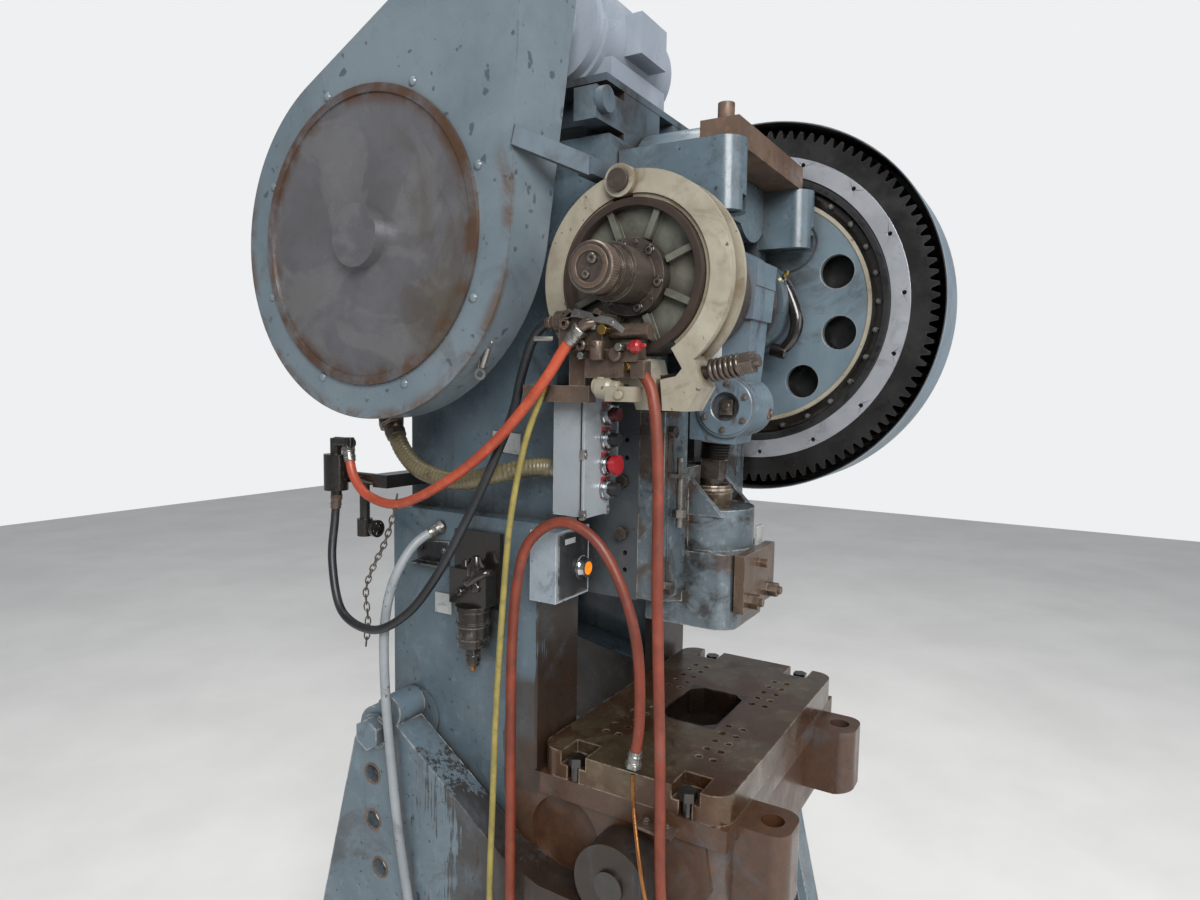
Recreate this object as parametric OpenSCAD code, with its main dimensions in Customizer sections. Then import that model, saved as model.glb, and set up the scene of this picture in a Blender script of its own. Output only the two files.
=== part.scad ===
// Geared open-back inclinable stamping press, flywheel drive inside a guard on the left.
// Lengths in mm, +Z up, front at -Y. Modules use the slide centre as X = 0 and the crankshaft axis
// as Y = 0; in_place() then moves everything so that the origin is the centre of the footprint.

/* [Overall heights] */
// Floor to crankshaft axis
crank_z = 1789; // [1700:1:1850]
// Floor to the top of the bed casting
bed_top = 824; // [800:1:850]
// Floor to the trunnion the frame inclines on
trunnion_z = 697; // [680:1:710]
// Floor to the bottom of the frame casting
frame_bottom = 575; // [560:1:600]

/* [Crank and slide] */
// Slide stroke
stroke = 90; // [60:1:100]
// Crank angle past top dead centre in the photograph
rest_angle = 58; // [50:1:65]
// Crankpin to ball centre
rod_length = 514; // [505:1:520]
// Crankshaft journal radius
journal_r = 50; // [44:1:54]
// Crankpin radius
pin_r = 50; // [44:1:52]
// Crank web radius
web_r = 105; // [98:1:110]
// Big end half width along the shaft
big_end_half = 59; // [54:1:62]
// Crank web thickness
web_t = 44; // [38:1:46]
// Adjusting screw radius
screw_r = 29; // [26:1:31]
// Ball radius
ball_r = 40; // [38:1:42]
// Worm housing radius
worm_r = 65; // [60:1:68]

/* [Slide] */
// Half width of the slide face
slide_half = 110; // [105:1:115]
// Slide front face distance ahead of the shaft axis
slide_front = 100; // [95:1:105]
// Slide back face distance behind the shaft axis
slide_back = 95; // [92:1:98]
// Ball centre to the bottom face of the slide
slide_drop = 205; // [200:1:215]
// Height of the flange at the bottom of the slide
slide_foot = 45; // [35:1:50]
// Radius of the shank hole
shank_r = 32; // [25:0.5:34]
// Depth of the shank hole
shank_deep = 95; // [80:1:100]
// How far the V ways stand out from the slide
way_out = 40; // [34:1:42]
// Height of the slide ways above the ball centre
way_up = 130; // [110:1:135]
// Running gap between slide and gibs
way_gap = 0.06; // [0.03:0.01:0.1]

/* [Frame] */
// Half width over the columns
frame_half = 349; // [345:1:352]
// Half width of the open back
throat_half = 201; // [190:1:205]
// Column wall thickness
wall = 42; // [34:1:46]
// Front face of the columns at the throat
throat_y = 212; // [205:1:225]
// Rear face of the columns
rear_y = 608; // [595:1:612]
// Front of the gib housings
housing_y = 61; // [58:1:64]
// Outer face of the gib housings
housing_x = 220; // [214:1:222]
// Bottom of the gib housings
housing_z = 1165; // [1150:1:1175]
// Radius of the crankshaft bearing housings
bearing_r = 112; // [105:1:116]
// Outer end of the left crankshaft bearing
bearing_left = 292; // [286:1:294]
// Right side of the upper frame, behind the gear
head_right = 234; // [230:1:235]
// Top of the wide columns on the gear side
shoulder_z = 1325; // [1300:1:1335]
// Height of the crown above the shaft axis
crown_up = 326; // [315:1:330]
// Bottom of the crown above the shaft axis
crown_low = 165; // [160:1:175]
// Wall of the bronze bushes
bush_t = 10; // [6:1:12]
// Fit gap of the bushes in their housings, and of still round parts in their seats
seat_gap = 0.3; // [0.3:0.05:0.5]
// Running gap on shafts
run_gap = 0.05; // [0.03:0.01:0.1]

/* [Bed and bolster] */
// Half width of the bolster
bolster_half = 357; // [350:1:365]
// Half depth of the bolster
bolster_deep = 200; // [190:1:205]
// Bolster thickness
bolster_t = 56; // [45:1:60]
// Corner radius of the bolster
bolster_r = 40; // [30:1:50]
// Thickness of the bed flange
flange_t = 42; // [38:1:50]
// Half width of the die hole
hole_half_x = 100; // [85:1:110]
// Half depth of the die hole
hole_half_y = 65; // [55:1:72]
// Radius of the tapped holes
tap_r = 7; // [5:0.5:8]
// Distance of the bed ears from the middle
ear_x = 247; // [240:1:250]
// Half width of an ear
ear_half = 52; // [45:1:55]
// Front of the ears
ear_front = 290; // [285:1:295]
// Top of the ears
ear_top = 806; // [795:1:815]
// Height of an ear
ear_high = 151; // [140:1:160]
// Radius of the ear holes
ear_hole_r = 22; // [16:0.5:24]
// Ear hole distance ahead of the shaft axis
ear_hole_y = 247; // [240:1:250]

/* [Legs] */
// Gap between the frame and the legs
leg_gap = 5; // [4:1:9]
// Width of the legs
leg_w = 76; // [72:1:80]
// Thickness of the leg plate
leg_t = 26; // [20:1:30]
// Thickness of the leg flanges
leg_rim = 24; // [20:1:30]
// Trunnion radius
trunnion_r = 29; // [26:1:32]
// Trunnion distance ahead of the shaft axis
trunnion_y = 7; // [0:1:12]
// Radius on which the incline holes lie
incline_r = 604; // [600:1:608]
// Incline bolt hole radius
incline_hole_r = 20; // [16:0.5:22]
// Angle from one incline hole to the next
incline_step = 10; // [9:0.5:11]
// Front end of the feet
foot_front = 262; // [250:1:275]
// Rear end of the feet
foot_rear = 905; // [890:1:915]
// Tie rod radius
tie_r = 19; // [14:0.5:22]

/* [Gears] */
// Gear module
gear_module = 8; // [7.9:0.05:8.1]
// Teeth on the bull gear
gear_teeth = 103; // [101:1:103]
// Teeth on the pinion
pinion_teeth = 28; // [27:1:29]
// Backlash
backlash = 0.8; // [0.5:0.1:1.2]
// Direction of the backshaft from the crankshaft, degrees above the rear
backshaft_angle = 9.66; // [8:0.1:11]
// Backshaft radius
backshaft_r = 40; // [36:1:44]
// Gear face width
gear_w = 98; // [90:1:100]
// Radius of the gear bore, over the bearing ring on the crankshaft
gear_bore = 84; // [78:1:90]
// Inboard face of the gear ring
gear_x = 247; // [246:1:250]
// Outer radius of the clutch ring
ring_out = 361; // [355:1:363]
// Inner radius of the clutch ring
ring_in = 319; // [315:1:325]
// Clutch ring thickness
ring_t = 14; // [10:1:16]
// Inner radius of the rubber tube
tube_in = 301; // [300:1:305]
// Outer radius of the clutch spider
spider_r = 299; // [294:1:299]
// Radius on which the lightening holes lie
spider_hole_at = 208; // [200:1:212]
// Lightening hole radius
spider_hole_r = 39; // [34:1:42]
// Spider thickness
spider_t = 20; // [16:1:24]

/* [Flywheel and motor] */
// Flywheel radius
flywheel_r = 300; // [285:1:305]
// Flywheel rim width
flywheel_w = 88; // [70:1:90]
// Motor sheave radius
sheave_r = 80; // [74:1:82]
// Motor axis behind the shaft axis
motor_y = 245; // [240:1:250]
// Motor axis above the shaft axis
motor_up = 509; // [500:1:515]
// Motor body radius
motor_r = 117; // [110:1:120]
// Drive end of the motor body
motor_left = 290; // [285:1:300]
// Motor body length
motor_l = 330; // [300:1:340]
// Belt width
belt_w = 17; // [13:0.5:19]
// Belt thickness
belt_t = 9; // [7:0.5:10]

/* [Guards] */
// Outer radius of the flywheel guard
guard_r = 351; // [345:1:355]
// Outer radius of the guard over the motor sheave
guard_top_r = 98; // [94:1:104]
// Guard sheet thickness
sheet = 4; // [3:0.5:5]
// Left face of the flywheel guard
guard_left = 510; // [508:1:514]
// Depth of the guard at the flywheel axis
guard_deep = 116; // [112:1:122]
// Radius of the door ring
door_r = 284; // [278:1:290]
// Radius of the dished part of the door
dish_r = 268; // [262:1:272]
// Radius of the cap on the door
cap_r = 60; // [54:1:64]
// How far the door cap stands out
cap_out = 30; // [24:1:34]
// Radius on which the door screws lie
door_screws_at = 298; // [292:1:304]
// Outer radius of the gear guard
gear_guard_r = 438; // [434:1:444]
// Outer radius of the gear guard over the pinion
pinion_guard_r = 158; // [148:1:164]
// Outboard face of the gear guard
gear_guard_out = 395; // [390:1:400]

/* [Brake] */
// Brake drum radius
drum_r = 137; // [132:1:140]
// Outboard face of the drum
drum_x = 383; // [380:1:386]
// Drum width
drum_w = 80; // [74:1:84]
// Outer radius of the brake shoes
shoe_r = 187; // [180:1:190]
// Inner radius of the brake lining
lining_r = 138; // [137.5:0.1:141]
// Brake shoe width
shoe_w = 64; // [54:1:70]
// Outer end of the crankshaft
crank_left = 518; // [510:1:522]
// Hub flange radius
hub_r = 68; // [62:1:72]

/* [Boxes and buttons] */
// Width of the tall control box
box_w = 89; // [80:1:95]
// Depth of the tall control box
box_d = 70; // [60:1:76]
// Height of the tall control box
box_h = 235; // [225:1:245]
// Bottom of the tall control box
box_z = 1354; // [1345:1:1360]
// Left side of both control boxes
box_left = 380; // [376:1:384]
// Button radius
button_r = 13; // [11:0.5:15]
// Button travel
button_travel = 4; // [3:0.5:5]
// Distance between buttons
button_pitch = 48; // [44:1:50]

/* [Hidden] */
$fn = 72;
pi_deg = 180 / PI;
crank_r = stroke / 2;
pin_y = -crank_r * sin(rest_angle);
pin_z = crank_z + crank_r * cos(rest_angle);
rod_tilt = asin(-pin_y / rod_length);
ball_z = pin_z - rod_length * cos(rod_tilt);
slide_z = ball_z - slide_drop;
way_z = slide_z + slide_foot + 6;
slide_top = ball_z + 41;
gear_centres = gear_module * (gear_teeth + pinion_teeth) / 2;
bs_y = gear_centres * cos(backshaft_angle);
bs_z = crank_z + gear_centres * sin(backshaft_angle);
gear_tip = gear_module * (gear_teeth / 2 + 1);
gear_root = gear_module * (gear_teeth / 2 - 1.25);
motor_z = crank_z + motor_up;
spider_x = gear_x + 29;
bolster_z = bed_top + 0.2;
bolster_top = bolster_z + bolster_t;
bolt_head = 32;
leg_in = frame_half + leg_gap;
leg_out = leg_in + leg_w;
cap_end = guard_left + cap_out;
flywheel_x = -guard_left + 15;
box_front = 89;
top_button_z = box_z + 190;
button_x = -box_left + 75;
small_x = -box_left + 120;
small_z = box_z - 175;
side_button_z = small_z + 56;
conduit_x = -box_left + 44;
conduit_z = box_z + 83;
valve_x = -bearing_left - 148;
valve_z = crank_z - 129;
pipe_x = -bearing_left - 112;
stand_x = pipe_x - 26;
stand_y = rear_y + 92;
stand_z = shoulder_z + 36;
oiler_y = throat_y + 138;
shoe_x = drum_x - 10;
pivot_z = crank_z + 168;
pivot_r = 29;
gib_bolt_z = [housing_z + 30, crank_z - 280];
side_bolt_z = [ball_z + 107, ball_z];
fly_c = [bs_y, bs_z];
mot_c = [motor_y, motor_z];
tap_rows = [[-110, -120], [-70, -120], [-30, -120], [10, -120], [50, -120], [-110, -90], [-70, -90],
    [-30, -90],
  [10, -90], [50, -90]];
mid_x = (leg_out + bolt_head - cap_end) / 2;
mid_y = (foot_rear - gear_guard_r) / 2;
blue = [0.38, 0.46, 0.49];
brown = [0.36, 0.30, 0.25];
steel = [0.55, 0.54, 0.52];
black = [0.08, 0.08, 0.09];
cream = [0.74, 0.70, 0.58];

// Placing helpers
module in_place() translate([-mid_x, -mid_y, 0]) children();
module rod_x(r, x0, x1, y, z) translate([x0, y, z]) rotate([0, 90, 0]) cylinder(r = r, h = x1 - x0);
module rod_y(r, y0, y1, x, z) translate([x, y0, z]) rotate([-90, 0, 0]) cylinder(r = r, h = y1 - y0);
module rod_z(r, z0, z1, x, y) translate([x, y, z0]) cylinder(r = r, h = z1 - z0);
module block(a, b) translate(a) cube([b[0] - a[0], b[1] - a[1], b[2] - a[2]]);
module side(x0, x1) translate([x0, 0, 0]) rotate([90, 0, 90]) linear_extrude(x1 - x0) children();
module front(y0, y1) translate([0, y1, 0]) rotate([90, 0, 0]) linear_extrude(y1 - y0) children();
module both_sides() { children(); mirror([1, 0, 0]) children(); }
module hex_x(w, x0, x1, y, z) translate([x0, y, z]) rotate([0, 90, 0]) cylinder(d = w / cos(30),
    h = x1 - x0, $fn = 6);
module hex_y(w, y0, y1, x, z) translate([x, y0, z]) rotate([-90, 0, 0]) cylinder(d = w / cos(30),
    h = y1 - y0, $fn = 6);
module hex_z(w, z0, z1, x, y) translate([x, y, z0]) cylinder(d = w / cos(30), h = z1 - z0, $fn = 6);
module at_rod() translate([0, pin_y, pin_z]) rotate([rod_tilt, 0, 0]) children();
module disc(c, r) translate(c) circle(r);

function unit(v) = v / norm(v);
function inset(p, d) = [for (i = [0 : len(p) - 1])
  let (n = len(p), u = unit(p[i] - p[(i + n - 1) % n]), v = unit(p[(i + 1) % n] - p[i]),
    a = [-u[1], u[0]], b = [-v[1], v[0]], m = unit(a + b)) p[i] + m * d / (m * a)];

// Outline round two circles, as a belt or a guard needs it
function wrap(a, ra, b, rb) = let (d = norm(b - a), base = atan2(b[1] - a[1], b[0] - a[0]),
    w = acos((ra - rb) / d),
    u = [cos(base - w), sin(base - w)], v = [cos(base + w), sin(base + w)])
  [a + ra * u, b + rb * u, b + rb * v, a + ra * v];
module wrapped(a, ra, b, rb) {
  turn = atan2(b[1] - a[1], b[0] - a[0]);
  translate(a) rotate(turn) circle(ra);
  translate(b) rotate(turn + 180) circle(rb);
  polygon(wrap(a, ra - 0.05, b, rb - 0.05));
}

// Involute teeth
function inv(a) = tan(a) * pi_deg - a;
function half_angle(r, z) = let (rb = gear_module * z * cos(20) / 2)
  (90 - backlash / 4 / gear_module * pi_deg * 2) / z + inv(20) - inv(acos(min(1, rb / r)));
function teeth(z, radii) = [for (i = [0 : z - 1]) each concat(
  [for (r = radii) let (a = 360 / z * i - half_angle(r, z)) r * [cos(a), sin(a)]],
  [for (k = [len(radii) - 1 : -1 : 0]) let (a = 360 / z * i + half_angle(radii[k], z))
      radii[k] * [cos(a), sin(a)]])];

// Hoses: a smooth curve through the route points, swept by a ring
function through(a, b, c, d, t) = (2 * b + (c - a) * t + (2 * a - 5 * b + 4 * c - d) * t * t
  + (3 * b - a - 3 * c + d) * t * t * t) / 2;
function curve(p, n) = [for (i = [0 : len(p) - 2]) for (k = [0 : n - 1])
  through(p[max(i - 1, 0)], p[i], p[i + 1], p[min(i + 2, len(p) - 1)], k / n), p[len(p) - 1]];
function ring(c, t, r) = let (s = unit(cross(t, [1, 0, 0])), u = cross(s, t))
  [for (j = [0 : 9]) c + r * (cos(36 * j) * s + sin(36 * j) * u)];
module tube(p, r, n) {
  c = curve(p, n);
  last = len(c) - 1;
  rings = [for (i = [0 : last]) each ring(c[i], unit(c[min(i + 1, last)] - c[max(i - 1, 0)]), r)];
  walls = [for (i = [0 : last - 1]) for (j = [0 : 9]) let (a = i * 10 + j, b = i * 10 + (j + 1) % 10)
    each [[a, b, b + 10], [a, b + 10, a + 10]]];
  polyhedron(rings, concat(walls, [[for (j = [9 : -1 : 0]) j]], [[for (j = [0 : 9]) last * 10 + j]]));
}
drop_route = [[valve_x + 26, -24.5, valve_z - 26], [valve_x + 24, -48, valve_z - 42],
  [valve_x + 20, -70, valve_z - 84], [valve_x + 20, -82, 1450], [valve_x + 20, -86, 1235],
  [valve_x + 20, -98, 950], [valve_x + 16, -108, 702], [-leg_out + 10, -128, 590],
  [-leg_out + 32, -142, 520], [-leg_in - 6, -148, 500]];
loop_route = [[-box_left - 20, -36, 925], [-box_left - 20, -46, 1006], [-box_left - 22, -40, 1133],
  [-box_left - 25, -8, 1240], [-box_left - 30, 46, 1322], [-box_left - 38, 118, 1348],
  [-leg_out + 2, 180, 1304], [-leg_out - 2, 204, 1220], [-leg_out - 8, 210, 1100],
  [-leg_out - 15, 206, 979], [-leg_out - 17, 204, 740], [-leg_out - 17, 204, 480], [-leg_out - 16, 204, 336]];
orange_route = [[valve_x - 12, 62, valve_z + 30], [valve_x - 12, 88, valve_z + 4], [valve_x - 12, 138,
    valve_z - 62],
  [valve_x - 10, 240, 1494], [valve_x - 4, 363, 1409], [valve_x + 2, 498, 1350], [stand_x - 6,
      stand_y - 110, 1356],
  [stand_x - 4, stand_y - 60, stand_z + 34], [stand_x, stand_y - 40, stand_z + 88]];
black_route = [[valve_x + 25, 130, valve_z + 52], [valve_x + 28, 152, valve_z + 52], [valve_x + 35, 190,
    valve_z + 24],
  [valve_x + 38, 220, 1612], [valve_x + 35, 238, 1540], [valve_x + 10, 280, 1418], [valve_x - 18, 322, 1310],
  [valve_x - 32, 380, 1208], [valve_x - 34, 450, 1132], [stand_x - 44, 543, 1085], [stand_x - 40, 640, 1108],
  [stand_x - 22, stand_y - 10, 1206], [stand_x - 4, stand_y + 1, 1296], [stand_x, stand_y, stand_z - 18]];
yellow_route = [[valve_x + 18, 150, valve_z - 54], [valve_x + 14, 158, valve_z - 85], [valve_x + 12, 188,
    1497],
  [valve_x, 206, 1390], [-leg_out - 22, 214, 1271], [-leg_out - 36, 224, 1001], [-leg_out - 36, 232, 800],
  [-leg_out - 34, 240, 623], [-leg_out - 24, 246, 460], [-leg_out - 16, 248, 336]];
grey_route = [[-frame_half - 6, 470, 1290], [-frame_half - 51, 492, 1262], [-leg_out - 2, 510, 1210],
  [-leg_out - 16, 526, 1148], [-leg_out - 20, 536, 1060], [-leg_out - 20, 532, 931], [-leg_out - 18, 520,
      803],
  [-leg_out - 16, 502, 655], [-leg_out - 16, 474, 509], [-leg_out - 16, 446, 380], [-leg_out - 16, 426, 250],
  [-leg_out - 16, 420, 120]];
olive_route = [[-bearing_left - 68, rear_y - 8, 1506], [-bearing_left - 80, rear_y - 52, 1452],
  [conduit_x - 44, 500, conduit_z - 21], [conduit_x - 44, 430, conduit_z - 37], [conduit_x - 44, 363,
      conduit_z - 34],
  [conduit_x - 36, 300, conduit_z - 17], [conduit_x - 16, 237, conduit_z - 3], [conduit_x,
      box_front + 101, conduit_z],
  [conduit_x, box_front + 71, conduit_z]];
copper_route = [[-box_left - 22, -36, 903], [-box_left - 32, -44, 850], [-leg_out - 6, -70, 770],
  [-leg_out - 10, -84, 715], [-leg_out - 4, -94, 672], [-leg_out + 18, -97, 646], [-leg_in - 26, -102, 632],
  [-leg_in + 4, -106, 626]];

// Legs
leg_shape = [[-foot_front + 40, 0], [foot_rear - 30, 0], [762, 386], [650, 810], [596, 893], [548, 886],
  [236, 670], [150, 642], [70, 640], [-80, 640], [-120, 440]];
leg_hole = [[40, 0], [110, 190], [200, 260], [420, 260], [540, 180], [590, 0]];
function incline_at(k) = let (a = 14.2 - incline_step * k)
  [-trunnion_y + incline_r * cos(a), trunnion_z + incline_r * sin(a)];
module leg_outline(grow = 0) {
  polygon(inset(leg_shape, -grow));
  disc([-trunnion_y, trunnion_z], 75 + grow);
  disc(incline_at(0), 52 + grow);
}
module leg() {
  difference() {
    union() {
      side(-leg_out, -leg_out + leg_t) leg_outline();
      side(-leg_out, -leg_in) difference() {
        polygon(leg_shape);
        polygon(inset(leg_shape, leg_rim));
      }
      rod_x(75, -leg_out, -leg_in, -trunnion_y, trunnion_z);
      rod_x(34, -leg_out, -leg_in, incline_at(0)[0] - 34, incline_at(0)[1] + 48);
      block([-leg_out - 8, -foot_front, 0], [-leg_in + 40, 60, 30]);
      block([-leg_out - 8, 580, 0], [-leg_in + 40, foot_rear, 30]);
    }
    side(-leg_out - 1, -leg_in + 1) polygon(leg_hole);
    side(-leg_out + leg_t, -leg_in + 1) polygon(inset(leg_shape, leg_rim + 0.01));
    rod_x(trunnion_r + run_gap, -leg_out - 1, -leg_in + 1, -trunnion_y, trunnion_z);
    for (k = [0 : 3]) rod_x(incline_hole_r, -leg_out - 1, -leg_in + 1, incline_at(k)[0], incline_at(k)[1]);
    for (y = [-foot_front + 60, foot_rear - 60]) rod_z(14, -1, 31, -leg_in - 5, y);
  }
  side(-leg_out + leg_t, -leg_in) difference() {
    disc([-trunnion_y, trunnion_z], 75);
    disc([-trunnion_y, trunnion_z], trunnion_r + run_gap);
  }
}
module left_leg() color(blue) in_place() leg();
module right_leg() color(blue) in_place() mirror([1, 0, 0]) leg();
module tie_rods() color(steel) in_place() for (p = [[-66, 420], [640, 420]]) {
  rod_x(tie_r, -leg_out + leg_t + seat_gap, leg_out - leg_t - seat_gap, p[0], p[1]);
  both_sides() hex_x(56, -leg_out + leg_t + seat_gap, -leg_out + leg_t + 26, p[0], p[1]);
}
module incline_bolts() color(brown) in_place() both_sides() {
  p = incline_at(0);
  rod_x(incline_hole_r - seat_gap, -leg_out - 1, -leg_in, p[0], p[1]);
  rod_x(38, -leg_out - 8, -leg_out - 0.1, p[0], p[1]);
  hex_x(60, -leg_out - bolt_head, -leg_out - 8, p[0], p[1]);
}

// Frame casting
column = [[-150, bed_top], [-170, bed_top - 130], [-120, frame_bottom + 30], [-60, frame_bottom], [240,
    frame_bottom],
  [500, 690], [rear_y, 880], [rear_y, shoulder_z], [throat_y, shoulder_z], [throat_y, bed_top]];
upper = [[throat_y, shoulder_z - 60], [rear_y, shoulder_z - 60], [rear_y, bs_z - 150], [bs_y + 96, bs_z - 60],
  [bs_y + 96, bs_z + 40], [bs_y + 50, bs_z + 98], [300, crank_z + 240], [210, crank_z + 285],
  [100.5, crank_z + 285], [100.5, crank_z + 140], [throat_y, crank_z - 150]];
module v_notch(y, out) polygon([[slide_half - 1, y - out - 1], [slide_half + out, y], [slide_half - 1,
    y + out + 1]]);
module crown_shape() {
  r = 95;
  polygon([[-throat_half, crown_low], [throat_half, crown_low], [throat_half, crown_up - r],
    [throat_half - r, crown_up], [-throat_half + r, crown_up], [-throat_half, crown_up - r]]);
  for (s = [-1, 1]) disc([s * (throat_half - r), crown_up - r], r);
}
module frame_half_body()
  difference() {
    side(-frame_half, -throat_half) polygon(column);
    side(-frame_half + wall, -throat_half + 1) polygon([[throat_y + wall, bed_top + 40],
      [rear_y - wall, 920], [rear_y - wall, shoulder_z - 50], [throat_y + wall, shoulder_z - 50]]);
    side(-frame_half - 1, -frame_half + 18) disc([143, frame_bottom + 130], 78);
  }
module ear() {
  difference() {
    union() {
      block([ear_x - ear_half, -ear_front + 34, ear_top - ear_high], [ear_x + ear_half, -140, ear_top]);
      block([ear_x - ear_half + 34, -ear_front, ear_top - ear_high], [ear_x + ear_half - 34, -140, ear_top]);
      for (x = [ear_x - ear_half + 34, ear_x + ear_half - 34])
        rod_z(34, ear_top - ear_high, ear_top, x, -ear_front + 34);
    }
    rod_z(ear_hole_r, ear_top - ear_high - 1, ear_top + 1, ear_x, -ear_hole_y);
    translate([0, -ear_front + 40, ear_top - ear_high]) rotate([-14, 0, 0]) block([0, -120, -80], [400,
        0, 0]);
  }
}
module lug(x) {
  difference() {
    union() {
      rod_z(39, crank_z + 131, crank_z + 261, x, -106);
      block([x - 39, -106, crank_z + 131], [x + 39, 98, crank_z + 261]);
    }
    block([x - 9, -146, crank_z + 130], [x + 9, -70, crank_z + 160]);
  }
}
module press_frame() color(blue) in_place() difference() {
  union() {
    both_sides() frame_half_body();
    // upper columns, left one wide enough to stand behind the brake
    difference() {
      union() {
        side(-bearing_left, -130) polygon(upper);
        side(130, head_right) polygon(upper);
      }
      for (x = [[-bearing_left + wall, -129], [129, head_right - wall]])
        side(x[0], x[1]) polygon([[throat_y + wall, shoulder_z + 40], [rear_y - wall, shoulder_z + 40],
          [rear_y - wall, bs_z - 160], [throat_y + wall, bs_z - 160]]);
    }
    block([-frame_half, throat_y, shoulder_z - 40], [-130, rear_y, shoulder_z]);
    block([130, throat_y, shoulder_z - 40], [frame_half, rear_y, shoulder_z]);
    // gib housings and crankshaft bearings
    both_sides() block([-housing_x, housing_y, housing_z], [-slide_half - 2, throat_y + 1, crank_z - 180]);
    both_sides() block([-housing_x, housing_y, crank_z - 181], [-130, throat_y + 1, crank_z - 60]);
    rod_x(bearing_r, -bearing_left, -126, 0, crank_z);
    rod_x(bearing_r, 126, head_right, 0, crank_z);
    block([-bearing_left, 0, crank_z - bearing_r], [-126, throat_y + 1, crank_z + bearing_r]);
    block([126, 0, crank_z - bearing_r], [head_right, throat_y + 1, crank_z + bearing_r]);
    block([-bearing_left + 30, -30, crank_z + 60], [-176, throat_y + 1, crank_z + 200]);
    block([176, -30, crank_z + 60], [head_right, throat_y + 1, crank_z + 200]);
    // crown, lugs and the wall behind the crank
    front(-40, 98) translate([0, crank_z]) crown_shape();
    front(97, throat_y + 1) translate([0, crank_z]) intersection() {
      crown_shape();
      translate([-400, 0]) square([800, 285]);
    }
    lug(-219);
    lug(219);
    block([-throat_half, throat_y - 40, shoulder_z - 40], [throat_half, throat_y, crank_z + 200]);
    block([-throat_half, rear_y - wall, shoulder_z], [throat_half, rear_y, bs_z - 150]);
    rod_x(84, -bearing_left, -130, bs_y, bs_z);
    rod_x(84, 130, head_right, bs_y, bs_z);
    // bed
    block([-bolster_half, -bolster_deep, bed_top - flange_t], [bolster_half, throat_y, bed_top]);
    block([-throat_half - 5, throat_y - 10, frame_bottom + 60], [throat_half + 5, throat_y + 34, bed_top]);
    block([-300, -bolster_deep + 20, frame_bottom + 25], [300, -bolster_deep + 62, bed_top - 10]);
    both_sides() {
      rod_z(42, frame_bottom + 60, bed_top - 10, -300, -bolster_deep + 52);
      block([-frame_half, -150, bed_top - 130], [-throat_half, -100, bed_top - 10]);
      ear();
      rod_x(64, -leg_in + 1, -throat_half, -trunnion_y, trunnion_z);
      rod_x(60, -leg_in + 1, -frame_half + 5, incline_at(0)[0] - 45, incline_at(0)[1] + 20);
    }
  }
  // die hole through the bed
  block([-hole_half_x - 12, -hole_half_y - 12, frame_bottom - 10], [hole_half_x + 12, hole_half_y + 12,
      bed_top + 1]);
  // guide ways, bearings, trunnions and ear holes
  both_sides() translate([0, 0, housing_z - 1]) linear_extrude(crank_z - 180 - housing_z + 2)
    mirror([1, 0, 0]) v_notch(housing_y - 11, way_out + way_gap);
  rod_x(journal_r + bush_t + seat_gap, -bearing_left - 1, head_right + 1, 0, crank_z);
  rod_x(backshaft_r + bush_t + seat_gap, -bearing_left - 1, head_right + 1, bs_y, bs_z);
  both_sides() {
    rod_x(trunnion_r + seat_gap, -leg_in, -throat_half - 20, -trunnion_y, trunnion_z);
    rod_z(ear_hole_r, 500, bed_top - flange_t, ear_x, -ear_hole_y);
    for (z = gib_bolt_z) rod_y(8 + seat_gap, housing_y - 1, housing_y + 60, -housing_x + 24, z);
    for (z = side_bolt_z) rod_x(8 + seat_gap, -housing_x - 1, -housing_x + 60, housing_y + 33, z);
    for (z = [ball_z + 190, ball_z + 154, ball_z - 41, ball_z - 76])
      rod_x(5, -housing_x - 1, -housing_x + 20, housing_y + 28, z);
  }
}
module trunnion_pins() color(brown) in_place() both_sides()
  rod_x(trunnion_r, -leg_out - 7, -throat_half - 20.2, -trunnion_y, trunnion_z);
module gib_bolts() color(steel) in_place() both_sides() {
  for (z = gib_bolt_z) {
    rod_y(8, housing_y - 57.5, housing_y + 50, -housing_x + 24, z);
    hex_y(24, housing_y - 70, housing_y - 57.2, -housing_x + 24, z);
  }
  for (z = side_bolt_z) {
    rod_x(8, -housing_x - 0.5, -housing_x + 52, housing_y + 33, z);
    hex_x(24, -housing_x - 14, -housing_x - 0.2, housing_y + 33, z);
  }
}
module gibs() color(brown) in_place() both_sides() difference() {
  block([-housing_x, housing_y - 57, housing_z + 4], [-slide_half - 2, housing_y - 0.2, crank_z - 240]);
  translate([0, 0, housing_z]) linear_extrude(crank_z - 180 - housing_z)
    mirror([1, 0, 0]) v_notch(housing_y - 11, way_out + way_gap);
  for (z = gib_bolt_z) rod_y(8 + seat_gap, housing_y - 60, housing_y, -housing_x + 24, z);
}
module bronze_bushes() color([0.6, 0.45, 0.2]) in_place() {
  for (s = [[-bearing_left, -126, 0, crank_z, journal_r], [126, head_right, 0, crank_z, journal_r],
      [-bearing_left, -130, bs_y, bs_z, backshaft_r], [130, head_right, bs_y, bs_z, backshaft_r]])
    difference() {
      rod_x(s[4] + bush_t, s[0], s[1], s[2], s[3]);
      rod_x(s[4] + run_gap, s[0] - 1, s[1] + 1, s[2], s[3]);
    }
}

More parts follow.
